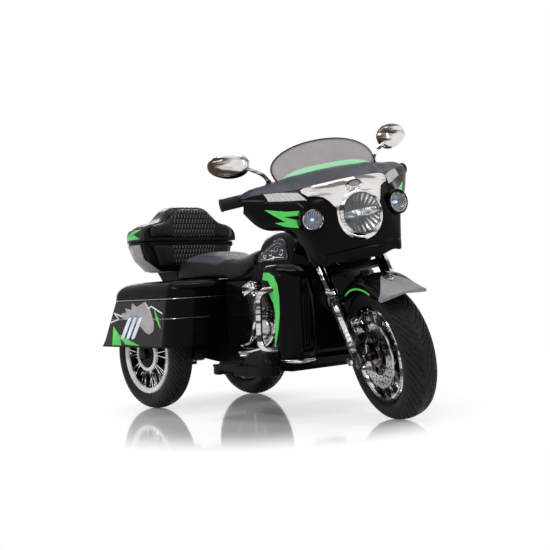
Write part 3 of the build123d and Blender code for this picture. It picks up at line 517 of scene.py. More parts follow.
class Tree:
    """Node tree of one material."""

    def __init__(self, name: str) -> None:
        """Starts a material with a Principled shader."""
        self.material = bpy.data.materials.new(name)
        self.material.use_nodes = True
        self.nodes = self.material.node_tree.nodes
        self.links = self.material.node_tree.links
        self.shader = next(n for n in self.nodes if n.type == "BSDF_PRINCIPLED")
        self.end = next(n for n in self.nodes if n.type == "OUTPUT_MATERIAL")

    def node(self, kind: str, settings: dict, values: dict) -> "Outputs":
        """Adds a node.

        Args:
            kind: Node type.
            settings: Properties set first, such as an operation.
            values: Socket names or indices, with a value or a Socket for each.

        Returns:
            The node's outputs.
        """
        made = self.nodes.new(kind)
        for name, value in settings.items():
            if name == "stops":
                self._ramp(made, value)
            else:
                setattr(made, name, value)
        for name, value in values.items():
            self.feed(made.inputs[name], value)
        return Outputs(self, made)

    @staticmethod
    def _ramp(node: bpy.types.Node, stops: Sequence[tuple[float, tuple]]) -> None:
        """Sets a colour ramp's stops."""
        elements = node.color_ramp.elements
        for place, colour in stops[2:]:
            elements.new(place)
        for element, (place, colour) in zip(elements, sorted(stops)):
            element.position, element.color = place, (*colour, 1.0)

    def feed(self, socket: bpy.types.NodeSocket, value: object) -> None:
        """Links or sets one input."""
        if isinstance(value, Socket):
            self.links.new(value.link, socket)
        elif isinstance(value, tuple) and socket.type == "RGBA" and len(value) == 3:
            socket.default_value = (*value, 1.0)
        else:
            socket.default_value = value

    def dress(self, **values: object) -> None:
        """Sets or links the Principled shader's inputs, spaces written as underscores."""
        for name, value in values.items():
            self.feed(self.shader.inputs[name.replace("_", " ")], value)

    def place(self) -> Socket:
        """Object coordinates, in metres."""
        return self.node("ShaderNodeTexCoord", {}, {})["Object"]

    def axes(self, vector: Socket) -> tuple[Socket, Socket, Socket]:
        """X, Y and Z of a vector."""
        split = self.node("ShaderNodeSeparateXYZ", {}, {0: vector})
        return split["X"], split["Y"], split["Z"]

    def stretch(self, scale: tuple[float, float, float]) -> Socket:
        """Object coordinates multiplied along each axis."""
        return self.node("ShaderNodeVectorMath", {"operation": "MULTIPLY"},
                         {0: self.place(), 1: scale})[0]

    def surface(self) -> tuple[Socket, Socket]:
        """The piece's own place on the surface, along and across."""
        return self.axes(self.node("ShaderNodeTexCoord", {}, {})["UV"])[:2]

    def noise(self, scale: float, detail: float = 3.0, roughness: float = 0.55,
              vector: Optional[Socket] = None) -> Socket:
        """Noise over the object, scale in cycles per metre."""
        return self.node("ShaderNodeTexNoise", {}, {
            "Vector": vector or self.place(), "Scale": scale, "Detail": detail,
            "Roughness": roughness})["Fac"]

    def mix(self, share: Union[Socket, Number], first: object, second: object) -> Socket:
        """Colour between first and second."""
        return self.node("ShaderNodeMix", {"data_type": "RGBA"}, {0: share, 6: first, 7: second})[2]

    def bump(self, height: Socket, distance: float, strength: float = 1.0,
             normal: Optional[Socket] = None) -> Socket:
        """Bump from a height of 0 to 1, distance in metres."""
        values = {"Height": height, "Distance": distance, "Strength": strength}
        if normal is not None:
            values["Normal"] = normal
        return self.node("ShaderNodeBump", {}, values)["Normal"]


class Outputs:
    """A node's outputs, by name or index, as Sockets."""

    def __init__(self, tree: Tree, node: bpy.types.Node) -> None:
        """Keeps the node."""
        self.tree, self.node = tree, node

    def __getitem__(self, name: Union[str, int]) -> Socket:
        """One output."""
        return Socket(self.tree, self.node.outputs[name])


# ------------------------------------------------------------------ finishes
MATERIALS: dict[str, bpy.types.Material] = {}
Colour = tuple[float, float, float]


def shade(colour: Colour, factor: float) -> Colour:
    """A colour made lighter or darker."""
    return tuple(min(1.0, c * factor) for c in colour)


@dataclass(frozen=True)
class Finish:
    """A surface finish. Each kind dresses a material once, and pieces share it."""

    name: str
    colour: Colour

    def dress(self, tree: Tree) -> None:
        """Builds the nodes."""
        raise NotImplementedError

    def material(self) -> bpy.types.Material:
        """The material, made on first use."""
        if self.name not in MATERIALS:
            tree = Tree(self.name)
            self.dress(tree)
            MATERIALS[self.name] = tree.material
        return MATERIALS[self.name]


@dataclass(frozen=True)
class Plastic(Finish):
    """Moulded plastic: cloudy colour, uneven gloss, orange peel and faint rubbed scratches."""

    gloss: tuple[float, float] = (0.12, 0.24)
    specular: float = 0.38
    coat: float = 0.0
    grain: float = 0.00004
    grain_scale: float = 1400.0

    def dress(self, tree: Tree) -> None:
        """Colour and roughness from slow noise, bump from fine noise over a slow ripple."""
        cloud = tree.noise(14, 4)
        scratch = tree.noise(420, 2, 0.7, tree.stretch((1.0, 1.0, 0.04)))
        rub = scratch.step(0.60, 0.72)
        base = tree.mix(cloud.step(0.35, 0.7), shade(self.colour, 0.82), shade(self.colour, 1.16))
        base = tree.mix(rub * 0.16, base, shade(self.colour, 1.9))
        low, high = self.gloss
        rough = cloud.step(0.3, 0.75, low, high) + rub * 0.06
        ripple = tree.bump(tree.noise(55, 1), 0.0002, 0.35)
        fine = tree.bump(tree.noise(self.grain_scale, 2), self.grain, 0.8, ripple)
        tree.dress(Base_Color=base, Roughness=rough, Normal=fine, Specular_IOR_Level=self.specular,
                   Coat_Weight=self.coat, Coat_Roughness=0.05)


@dataclass(frozen=True)
class Metal(Finish):
    """Bright or dark plated metal with faint ripples, painted streaky reflections and dull specks."""

    gloss: tuple[float, float] = (0.05, 0.14)
    ripple: float = 0.00025
    # The three fields below paint reflections: streaks of a colour over the metal, stretched along the axes
    # by a scale.
    streak: float = 0.0
    streak_colour: Colour = (0.05, 0.04, 0.035)
    streak_scale: tuple[float, float, float] = (7.0, 7.0, 60.0)

    def dress(self, tree: Tree) -> None:
        """Colour darkens in specks and takes painted reflections as flat streaks; roughness follows slow
        noise.
        """
        cloud, speck = tree.noise(26, 4), tree.noise(520, 2).step(0.64, 0.74)
        base = tree.mix(cloud.step(0.3, 0.75), shade(self.colour, 0.86), self.colour)
        if self.streak:
            # Painted reflection: flat streaks of the reflection colour laid over the metal.
            reflection_pattern = tree.noise(1.0, 3, 0.5, tree.stretch(self.streak_scale))
            base = tree.mix(reflection_pattern.step(0.62 - 0.24 * self.streak, 0.70 - 0.2 * self.streak), base,
                            self.streak_colour)
        base = tree.mix(speck * 0.35, base, shade(self.colour, 0.45))
        low, high = self.gloss
        rough = cloud.step(0.3, 0.8, low, high) + speck * 0.12
        normal = tree.bump(tree.noise(70, 2), self.ripple, 0.6)
        tree.dress(Base_Color=base, Roughness=rough, Normal=normal, Metallic=1.0)


@dataclass(frozen=True)
class Rubber(Finish):
    """Tyre or grip rubber: dusty black with fine mould marks."""

    def dress(self, tree: Tree) -> None:
        """Dust lightens the colour and roughens it where slow noise is high."""
        dust, fine = tree.noise(30, 5, 0.65), tree.noise(900, 3)
        base = tree.mix(dust.step(0.42, 0.8), self.colour, shade(self.colour, 1.9))
        rough = dust.step(0.3, 0.8, 0.4, 0.62)
        normal = tree.bump(fine, 0.00012, 0.7)
        tree.dress(Base_Color=base, Roughness=rough, Normal=normal, Specular_IOR_Level=0.1)


@dataclass(frozen=True)
class Vinyl(Finish):
    """Grained upholstery vinyl, with a painted highlight as a lighter panel inside an oval if one is given.
    """

    panel: Optional[tuple[float, float, float, float]] = None
    highlight_colour: Colour = (0.1, 0.1, 0.11)

    def highlight_mask(self, tree: Tree) -> Union[Socket, float]:
        """Share of the painted highlight panel: inside an oval of centre x, y and half lengths, in metres."""
        if self.panel is None:
            return 0.0
        x, y, _ = tree.axes(tree.place())
        cx, cy, rx, ry = self.panel
        u, v = (x - cx) / rx, (y - cy) / ry
        return (u * u * u * u + v * v * v * v).step(0.82, 1.0, 1.0, 0.0)

    def dress(self, tree: Tree) -> None:
        """Leather cells from Voronoi distance, creases from stretched noise, soft wear."""
        cell = tree.node("ShaderNodeTexVoronoi", {"feature": "DISTANCE_TO_EDGE"},
                         {"Vector": tree.place(), "Scale": 620.0})["Distance"]
        wear, crease = tree.noise(20, 4), tree.noise(90, 3, 0.6)
        base = tree.mix(wear.step(0.35, 0.75), shade(self.colour, 0.85), shade(self.colour, 1.3))
        # Painted highlight: the oval on top takes a lighter colour.
        if self.panel is not None:
            panel = tree.mix(wear.step(0.3, 0.8), shade(self.highlight_colour, 0.9),
                             self.highlight_colour)
            base = tree.mix(self.highlight_mask(tree), base, panel)
        rough = wear.step(0.3, 0.8, 0.38, 0.56)
        normal = tree.bump(cell.step(0.0, 0.28), 0.00022, 0.8)
        normal = tree.bump(crease, 0.0011, 0.35, normal)
        tree.dress(Base_Color=base, Roughness=rough, Normal=normal, Specular_IOR_Level=0.1)


@dataclass(frozen=True)
class Quilt(Vinyl):
    """Quilted vinyl: staggered tall cells sewn between bright stitches, plain outside a half width."""

    half: float = 0.062
    middle: float = 0.0
    cell: tuple[float, float] = (0.0102, 0.0142)
    foot: float = 0.46

    def dress(self, tree: Tree) -> None:
        """Each cell is a parabola across and up, with a stitch along its sides."""
        _, y, z = tree.axes(tree.place())
        row = (z - self.foot) / self.cell[1]
        lift = row.frac()
        shift = (row * 0.5).frac().step(0.499, 0.501, 0.0, 0.5)
        across = ((y - self.middle) / self.cell[0] + shift).frac()
        u = abs(across - 0.5) * 2
        v = abs(lift - 0.5) * 2
        puff = (1 - u * u) * (1 - v * v * v)
        zone = abs(y - self.middle).step(self.half, self.half + 0.003, 1.0, 0.0)
        stitch = u.step(0.74, 0.9) * v.step(0.6, 0.8, 1.0, 0.0) * zone
        wear = tree.noise(24, 4)
        base = tree.mix(wear.step(0.35, 0.75), shade(self.colour, 0.85), shade(self.colour, 1.3))
        base = tree.mix(stitch * 0.7, base, (0.26, 0.26, 0.28))
        grain = tree.bump(tree.noise(1100, 2), 0.0001, 0.7)
        normal = tree.bump(puff * zone, 0.0032, 1.0, grain)
        tree.dress(Base_Color=base, Roughness=wear.step(0.3, 0.8, 0.34, 0.48), Normal=normal,
                   Specular_IOR_Level=0.1)


@dataclass(frozen=True)
class Smoked(Finish):
    """Tinted screen: see-through grey with a darker rim and a green band along its foot."""

    band: Colour = (0.38, 0.78, 0.46)

    def dress(self, tree: Tree) -> None:
        """The surface place holds the share across and the height in decimetres."""
        across, height = tree.surface()
        s = (across - 0.5) * 2
        top = (1 - s * s * s * s) * 0.29 - 0.02
        green = (height - top).step(-0.008, 0.008, 1.0, 0.0)
        haze = tree.noise(30, 4)
        base = tree.mix(haze.step(0.3, 0.75), shade(self.colour, 0.92), shade(self.colour, 1.1))
        base = tree.mix(green, base, self.band)
        alpha = (haze * 0.06 + 0.62).at_least(green * 0.82)
        tree.dress(Base_Color=base, Roughness=haze.step(0.3, 0.8, 0.05, 0.12), Alpha=alpha,
                   Normal=tree.bump(haze, 0.0002, 0.3), Specular_IOR_Level=0.1)


@dataclass(frozen=True)
class ClearLens(Finish):
    """Clear moulded lens, thin and shiny, with a trace of haze."""

    veil: float = 0.12
    prism: float = 0.0

    def dress(self, tree: Tree) -> None:
        """Low alpha with fine prisms across where the lens has them."""
        haze = tree.noise(60, 3)
        normal = tree.bump(haze, 0.0001, 0.3)
        alpha = haze * 0.08 + self.veil
        if self.prism:
            rib = (tree.axes(tree.place())[1] / self.prism).frac()
            normal = tree.bump(abs(rib - 0.5), 0.0012, 0.9, normal)
            alpha = alpha + abs(rib - 0.5) * 0.25
        tree.dress(Base_Color=tree.mix(haze, shade(self.colour, 0.9), self.colour), Alpha=alpha,
                   Roughness=haze * 0.08 + 0.03, Normal=normal, Specular_IOR_Level=0.16)


@dataclass(frozen=True)
class Reflector(Finish):
    """Bright lamp bowl with upright ribs that fan out above and below its middle."""

    ribs: float = 4.2

    def dress(self, tree: Tree) -> None:
        """Ribs are a sine of across / (0.6 + 0.55 |up|), with painted shade in the valleys and a dark middle
        band.
        """
        across, up = tree.surface()
        fan = across / (abs(up) * 0.55 + 0.6)
        wave = (fan * (TAU * self.ribs)).sine() * 0.5 + 0.5
        haze = tree.noise(160, 3)
        # Painted shade: the colour falls almost to black in the rib valleys.
        base = tree.mix(wave.step(0.25, 0.75), shade(self.colour, 0.05), self.colour)
        base = tree.mix(abs(up).step(0.14, 0.34, 0.85, 0.0), base, shade(self.colour, 0.08))
        base = tree.mix(haze.step(0.5, 0.8) * 0.3, base, shade(self.colour, 0.5))
        tree.dress(Base_Color=base, Roughness=haze * 0.12 + 0.08, Metallic=1.0,
                   Normal=tree.bump(wave, 0.0016, 1.0))


@dataclass(frozen=True)
class Glow(Finish):
    """Small lit lamp point."""

    def dress(self, tree: Tree) -> None:
        """Emission with a faint mottle."""
        mottle = tree.noise(300, 2)
        colour = tree.mix(mottle, shade(self.colour, 0.85), self.colour)
        tree.dress(Base_Color=colour, Emission_Color=colour, Emission_Strength=1.1,
                   Roughness=mottle * 0.1 + 0.1)


GLOSS_BLACK = Plastic("gloss_black", (0.0026, 0.0026, 0.003), gloss=(0.09, 0.17), specular=0.055)
SATIN_BLACK = Plastic("satin_black", (0.0042, 0.0042, 0.0047), gloss=(0.28, 0.4), grain=0.00009,
                      specular=0.06)
SOFT_BLACK = Plastic("soft_black", (0.009, 0.009, 0.0095), gloss=(0.4, 0.56), grain=0.00014,
                     grain_scale=900.0, specular=0.08)
# Charcoal of the tank's badge panels; on the fairing's brow the same grey is a painted highlight on its top
# face.
CHARCOAL_AND_BROW_HIGHLIGHT = Plastic("brow_charcoal", (0.034, 0.037, 0.05), gloss=(0.24, 0.34), specular=0.12)
VISOR_GREY = Plastic("visor_silver", (0.2, 0.2, 0.215), gloss=(0.3, 0.42), specular=0.3)
PANEL_ROSE = Plastic("panel_rose_silver", (0.235, 0.215, 0.22), gloss=(0.3, 0.42), specular=0.35)
SIDE_BROWN = Plastic("side_film", (0.019, 0.0145, 0.0145), gloss=(0.14, 0.24), specular=0.12)
GREEN = Plastic("film_green", (0.07, 0.56, 0.09), gloss=(0.2, 0.32), specular=0.3)
FILM_GREY = Plastic("film_grey", (0.33, 0.305, 0.325), gloss=(0.22, 0.34), specular=0.3)
FILM_WHITE = Plastic("film_white", (0.74, 0.74, 0.76), gloss=(0.22, 0.34), specular=0.3)
FILM_DARK = Plastic("film_outline", (0.004, 0.012, 0.006), gloss=(0.2, 0.3), specular=0.08)
FILM_BLUE = Plastic("film_blue", (0.05, 0.2, 0.42), gloss=(0.2, 0.32), specular=0.2)
RED_LENS = Plastic("tail_lens_red", (0.45, 0.012, 0.01), gloss=(0.06, 0.14), coat=0.4)
# Streaks on these metals are painted reflections: dark ones on the chrome and steel.
CHROME = Metal("chrome", (0.72, 0.7, 0.7), streak=0.72)
WARM_CHROME = Metal("chrome_moustache", (0.82, 0.79, 0.77), gloss=(0.03, 0.09), streak=0.5,
                    streak_colour=(0.2, 0.17, 0.16))
MIRROR_CHROME = Metal("chrome_mirror", (0.8, 0.76, 0.73), gloss=(0.03, 0.09), streak=0.7,
                      streak_colour=(0.06, 0.042, 0.034), streak_scale=(9.0, 9.0, 42.0))
DARK_CHROME = Metal("dark_chrome", (0.2, 0.185, 0.18), gloss=(0.1, 0.22), streak=1.0,
                    streak_colour=(0.02, 0.017, 0.016), streak_scale=(70.0, 70.0, 7.0))
PLATED_DISC = Metal("plated_disc", (0.66, 0.64, 0.63), gloss=(0.16, 0.3), streak=0.3)
STEEL = Metal("brushed_steel", (0.5, 0.49, 0.49), gloss=(0.22, 0.4), streak=0.4)
RIM_SILVER = Plastic("rim_silver_paint", (0.6, 0.585, 0.58), gloss=(0.2, 0.32), specular=0.4)
MIRROR_GLASS = Metal("mirror_glass", (0.9, 0.92, 0.93), gloss=(0.01, 0.03), ripple=0.00003)
TYRE_RUBBER = Rubber("tyre_rubber", (0.0085, 0.0085, 0.0092))
GRIP_RUBBER = Rubber("grip_rubber", (0.009, 0.009, 0.009))
SCREEN = Smoked("smoked_screen", (0.30, 0.26, 0.28))
LAMP_GLASS = ClearLens("lamp_glass", (0.9, 0.93, 0.95), veil=0.015)
PRISM_LENS = ClearLens("prism_lens", (0.86, 0.88, 0.9), veil=0.42, prism=0.005)
BOWL = Reflector("lamp_bowl", (0.72, 0.72, 0.74))
BLUE_POINT = Glow("lamp_point", (0.35, 0.55, 1.0))
# The seat's lighter top panel is a painted highlight.
SEAT_VINYL = Vinyl("seat_vinyl", (0.012, 0.012, 0.0135), panel=(*place_of(106), 0.1, 0.079),
                   highlight_colour=(0.062, 0.064, 0.076))
PIPING = Vinyl("seat_piping", (0.016, 0.016, 0.017))
MIDDLE_Y = float(SHIFT[1])
BACK_QUILT = Quilt("back_quilt", (0.009, 0.009, 0.0105), middle=MIDDLE_Y, half=0.071, foot=0.4655)
LOW_QUILT = Quilt("low_quilt", (0.009, 0.009, 0.0105), middle=MIDDLE_Y, half=0.071, foot=0.38)
TRUNK_BLACK = Plastic("trunk_black", (0.005, 0.005, 0.0055), gloss=(0.24, 0.36), specular=0.1)
# Its light streaks are painted reflections.
BLUE_GLASS = Metal("projector_lens", (0.11, 0.12, 0.145), gloss=(0.06, 0.16), streak=0.7,
                    streak_colour=(0.5, 0.52, 0.56), streak_scale=(30.0, 60.0, 160.0))


# ------------------------------------------------------------------ making pieces
DOUBLED = 2e-6  # Points nearer than this, in metres, are one.
FILLING_PRESSURE = 4.0
FILLING_FRAMES = 20
VOXEL = 5.0  # Remesh size of the pads, in millimetres.


def mesh_of(name: str, shape: Shape, body: Body) -> bpy.types.Mesh:
    """Mesh in the row frame with a place-on-surface map if the shape has one."""
    mesh = bpy.data.meshes.new(name)
    verts = to_row(shape.verts, body)
    quads, tris = np.asarray(shape.quads, np.int32), np.asarray(shape.tris, np.int32)
    loops = np.concatenate([quads.ravel(), tris.ravel()])
    starts = np.concatenate([np.arange(len(quads)) * 4,
                             len(quads) * 4 + np.arange(len(tris)) * 3])
    mesh.vertices.add(len(verts))
    mesh.vertices.foreach_set("co", verts.astype(np.float32).ravel())
    mesh.loops.add(len(loops))
    mesh.loops.foreach_set("vertex_index", loops)
    mesh.polygons.add(len(starts))
    mesh.polygons.foreach_set("loop_start", starts.astype(np.int32))
    if shape.uv is not None:
        layer = mesh.uv_layers.new(name="surface")
        layer.data.foreach_set("uv", shape.uv[loops].astype(np.float32).ravel())
    mesh.update(calc_edges=True)
    mesh.validate()
    return mesh


def tidy(mesh: bpy.types.Mesh) -> None:
    """Merges doubled points, drops faces of no area and turns the closed mesh outward."""
    work = bmesh.new()
    work.from_mesh(mesh)
    bmesh.ops.remove_doubles(work, verts=work.verts, dist=DOUBLED)
    bmesh.ops.dissolve_degenerate(work, edges=work.edges, dist=DOUBLED)
    bmesh.ops.recalc_face_normals(work, faces=work.faces)
    work.to_mesh(mesh)
    work.free()


def modify(piece: bpy.types.Object, kind: str, **settings: object) -> None:
    """Adds a modifier with its settings."""
    modifier = piece.modifiers.new(kind.lower(), kind)
    for name, value in settings.items():
        setattr(modifier, name, value)


def add(name: str, shape: Shape, body: Body, finish: Finish, slot: str,
        replaces: Sequence[str] = (), sharp: float = 34.0) -> bpy.types.Object:
    """Makes one piece.

    Args:
        name: Name of the piece.
        shape: Its shape in millimetres, bars straight.
        body: Body that it rides on.
        finish: Its finish.
        slot: Material slot of the record; not used.
        replaces: Nodes that it stands for.
        sharp: Edges of a larger angle, in degrees, stay sharp.

    Returns:
        The piece.
    """
    mesh = mesh_of(name, shape, body)
    tidy(mesh)
    mesh.shade_smooth()
    mesh.set_sharp_from_angle(angle=math.radians(sharp))
    piece = bpy.data.objects.new(name, mesh)
    bpy.context.scene.collection.objects.link(piece)
    mesh.materials.append(finish.material())
    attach(piece, body.value)
    if replaces:
        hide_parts(*replaces)
    LOG.info("%s: %d vertices, %s", name, len(mesh.vertices), finish.name)
    return piece


def add_sides(body: Body, rows: Sequence[tuple], **options: object) -> None:
    """Makes right-hand pieces and their mirror images.

    Args:
        body: Body that they all ride on.
        rows: For each piece, its name with {} for the side's word, its right-hand shape, finish
            and slot, and the nodes it stands for, named in the same way.
        options: Further arguments of add.
    """
    for side in Side:
        for name, shape, finish, slot, *nodes in rows:
            add(name.format(side.word), shape.on(side), body, finish, slot,
                tuple(node.format(side.word) for node in nodes), **options)


def dress_node(name: str, finish: Finish) -> None:
    """Gives a carried-over node a finish."""
    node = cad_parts[name]
    if not node.material_slots:
        node.data.materials.append(finish.material())
    for slot in node.material_slots:
        slot.material = finish.material()
    LOG.info("%s dressed in %s", name, finish.name)


def puff(piece: bpy.types.Object, voxel: float, cap: float) -> None:
    """Fills a pad: remesh, cloth under pressure, movement capped, then one subdivision.

    Args:
        piece: The pad's object.
        voxel: Remesh size in millimetres.
        cap: Largest movement of a point in millimetres.
    """
    modify(piece, "REMESH", mode="VOXEL", voxel_size=voxel * MM)
    bake(piece)
    rest = coordinates(piece.data)
    scene = bpy.context.scene
    cloth = piece.modifiers.new("filling", "CLOTH")
    cloth.settings.use_pressure = True
    cloth.settings.uniform_pressure_force = FILLING_PRESSURE
    cloth.settings.effector_weights.gravity = 0.0
    for number in range(1, FILLING_FRAMES + 1):
        scene.frame_set(number)
    bake(piece)
    scene.frame_set(1)
    moved = coordinates(piece.data) - rest
    length = np.linalg.norm(moved, axis=1, keepdims=True)
    moved *= np.minimum(1, cap * MM / np.maximum(length, 1e-9))
    piece.data.vertices.foreach_set("co", (rest + moved).astype(np.float32).ravel())
    modify(piece, "SUBSURF", levels=1, render_levels=1)
    bake(piece)
    piece.data.shade_smooth()


def coordinates(mesh: bpy.types.Mesh) -> Arr:
    """Vertices of a mesh as an array."""
    flat = np.empty(len(mesh.vertices) * 3, np.float32)
    mesh.vertices.foreach_get("co", flat)
    return flat.reshape(-1, 3).astype(float)


def bake(piece: bpy.types.Object) -> None:
    """Applies all modifiers of a piece to its mesh."""
    graph = bpy.context.evaluated_depsgraph_get()
    mesh = bpy.data.meshes.new_from_object(piece.evaluated_get(graph))
    piece.modifiers.clear()
    piece.data = mesh


# ------------------------------------------------------------------ wheels
@dataclass
class Tread:
    """Slanted grooves each side of the crown, long, short and inner ones in turn."""

    count: int = 34
    depth: float = 3.0
    width: float = 3.4
    slant: float = 0.95
    curl: float = 0.012

    def depth_at(self, arc: Arr, across: Arr, radius: float, half: float) -> Arr:
        """Groove depth over the crown.

        A groove is a band of constant width about a curve whose place round the tyre moves with
        the distance from the middle; its ends fade over two millimetres. A shallower groove runs
        round the tyre on each side of the middle.
        """
        pitch = TAU * radius / self.count
        away = np.abs(across)
        lean = away * self.slant + self.curl * away ** 2
        total = np.zeros_like(arc)
        for shift, first, last, width in ((0.0, 0.14, 0.92, 1.0), (0.5, 0.42, 0.97, 0.8),
                                          (0.26, 0.05, 0.3, 0.6)):
            side = np.where(across > 0, 0.31, 0.0)
            place = (arc * radius - lean) / pitch + shift + side
            gap = np.abs(place - np.round(place)) * pitch
            band = np.clip((self.width * width / 2 - gap) / 0.7 + 0.5, 0, 1)
            inner_end = np.clip((away - first * half) / 2 + 0.5, 0, 1)
            outer_end = np.clip((last * half - away) / 2, 0, 1)
            total = np.maximum(total, band * (inner_end * outer_end))
        ring = np.clip((1.2 - np.abs(away - 0.36 * half)) / 0.6, 0, 1) * 0.5
        return self.depth * np.maximum(total, ring)


@dataclass
class Tyre:
    """Tyre with a round crown, grooves, ringed side walls and beads tucked to the rim."""

    centre: tuple[float, float, float]
    radius: float
    width: float
    rim_r: float
    tread: Tread = field(default_factory=Tread)
    segments: int = 560
    profile: int = 66

    def shape(self) -> Shape:
        """Radius and place across follow a spline from bead to bead; grooves cut it over the crown."""
        wall, half = self.radius - self.rim_r, self.width / 2
        side = [(self.rim_r - 1, -0.74 * half), (self.rim_r + 0.2 * wall, -0.95 * half),
                (self.rim_r + 0.55 * wall, -0.995 * half), (self.rim_r + 0.84 * wall, -0.75 * half),
                (self.rim_r + 0.965 * wall, -0.36 * half)]
        mirrored = [(r, -y) for r, y in side[::-1]]
        radius, across = spline([*side, (self.radius, 0.0), *mirrored], self.profile).T
        arc = np.linspace(0, TAU, self.segments, endpoint=False)[:, None]
        share = (radius - self.rim_r) / wall
        rings = (0.7 * np.exp(-((share - 0.16) / 0.035) ** 2)
                 + 0.5 * np.exp(-((share - 0.5) / 0.02) ** 2)
                 + 0.6 * np.exp(-((share - 0.62) / 0.02) ** 2))
        crown = np.clip((share - 0.66) / 0.1, 0, 1)
        cut = self.tread.depth_at(arc, across + 0 * arc, self.radius, half) * crown
        lining = np.array([(self.rim_r - 1, 0.55 * half), (self.rim_r + 4, 0.0),
                           (self.rim_r - 1, -0.55 * half)])

        def about(radii: Arr, places: Arr) -> Arr:
            """Points at radii and places across, all round the axle."""
            return np.stack(np.broadcast_arrays(radii * np.cos(arc), places, radii * np.sin(arc)), -1)

        outer = about(radius - cut, across + np.sign(across) * rings)
        whole = np.concatenate([outer, about(*lining.T)], axis=1) + np.array(self.centre)
        return grid(whole, wrap_u=True, wrap_v=True)


def spoke(inner: float, outer: float, turn_in: float, turn_out: float, width: float,
          thick: float, y_in: float, y_out: float) -> Shape:
    """One wheel spoke about the Y axis, waisted, from a hub angle to a rim angle in degrees."""
    a, b = math.radians(turn_in), math.radians(turn_out)
    start = np.array([inner * math.cos(a), y_in, inner * math.sin(a)])
    end = np.array([outer * math.cos(b), y_out, outer * math.sin(b)])
    t = np.linspace(0, 1, 9)[:, None]
    path = start + (end - start) * t
    waist = 1 - 0.28 * np.sin(np.pi * t[:, 0])
    return sweep(path, squarish(width / 2, thick / 2, 3.2, 14), (0, 1, 0), waist)


def around(shape: Shape, count: int) -> Shape:
    """Copies of a shape turned evenly about the Y axis."""
    return join(shape.turned(360 * k / count, LEFTWARD) for k in range(count))


def bolts(ring: float, count: int, radius: float, back: float, face: float,
          sides: int = 6) -> Shape:
    """Ring of bolt heads about the Y axis, each a small domed prism from back to face."""
    out = 1 if face > back else -1
    x, z = circle(1, sides).T
    head = rings_loft([
        np.column_stack([ring + r * x, np.full(sides, y), r * z])
        for r, y in ((radius, back), (radius, face - out * 0.6), (radius * 0.8, face),
                     (radius * 0.3, face))])
    return around(head, count)


@dataclass
class RearWheel:
    """Driven rear wheel: tyre, bright painted ring, polished double spokes and a dark hub cap."""

    side: Side
    spokes: int = 10

    def build(self) -> None:
        """Makes the tyre and the rim."""
        lay = LAYOUT
        centre = (0.0, self.side.value * lay.rear_y, lay.rear_r)
        body = Body.REAR_RIGHT if self.side is Side.RIGHT else Body.REAR_LEFT
        word = self.side.word
        add(f"rear_{word}_tyre", Tyre(centre, lay.rear_r, lay.rear_w, lay.rear_rim).shape(), body,
            TYRE_RUBBER, "tyre", (f"rear_tyre_{word}",), sharp=50)
        pieces = ((f"rear_{word}_rim", self.rim(), RIM_SILVER, "chrome", (f"rear_rim_{word}",)),
                  (f"rear_{word}_spokes", self.spoke_set(), CHROME, "chrome", ()),
                  (f"rear_{word}_barrel", self.barrel(), DARK_CHROME, "dark_steel", ()),
                  (f"rear_{word}_hub_cap", self.cap(), SATIN_BLACK, "black_satin", ()))
        for name, shape, finish, slot, nodes in pieces:
            add(name, shape.on(self.side).moved(*centre), body, finish, slot, nodes)

    @staticmethod
    def rim() -> Shape:
        """Painted outer ring with a raised lip, and the inner ring round the hub."""
        lip = LAYOUT.rear_rim
        outer = lathe([(lip, -22), (lip, -26), (lip - 2, -29), (lip - 5, -29.6), (lip - 13, -27),
                       (lip - 15, -25), (lip - 15, -22), (lip - 9, -20)])
        inner = lathe([(48, -20), (47.5, -26), (45, -28.5), (40, -28.5), (38, -27), (38, -20)])
        return outer + inner

    def spoke_set(self) -> Shape:
        """Spokes in spreading pairs, over a second set of pairs behind, with bolts at the rim."""
        front = [spoke(45, 97, lean * 0.5, lean, 4.4, 5.0, -24, -22.5) for lean in (-6, 6)]
        back = [spoke(42, 99, 18 + lean * 0.3, 18 + lean, 5.0, 4.0, -8, -12) for lean in (-9, 9)]
        boss = bolts(88, 1, 3.2, -18, -24)
        return join(around(part, self.spokes) for part in (join(front), join(back), boss))

    @staticmethod
    def barrel() -> Shape:
        """Rim well behind the spokes, with a dished inner wall."""
        r = LAYOUT.rear_rim - 6
        return lathe([(r + 2, -24), (r + 4, -10), (r + 4, 24), (r + 2, 27), (r - 6, 27), (r - 8, 8),
                      (60, 2), (20, 0), (8, 0), (8, -6), (20, -7), (60, -6), (r - 9, -1),
                      (r - 4, -12), (r - 3, -24)])

    @staticmethod
    def cap() -> Shape:
        """Dark hub cap with a shallow dish and five screws."""
        dish = lathe([(37, -10), (37, -25), (34, -28.5), (26, -29.5), (22, -27), (14, -28),
                      (12.5, -37), (11, -38.4), (0.5, -38.8), (0.5, -10)], segments=72)
        return dish + bolts(28, 5, 2.6, -28, -31)


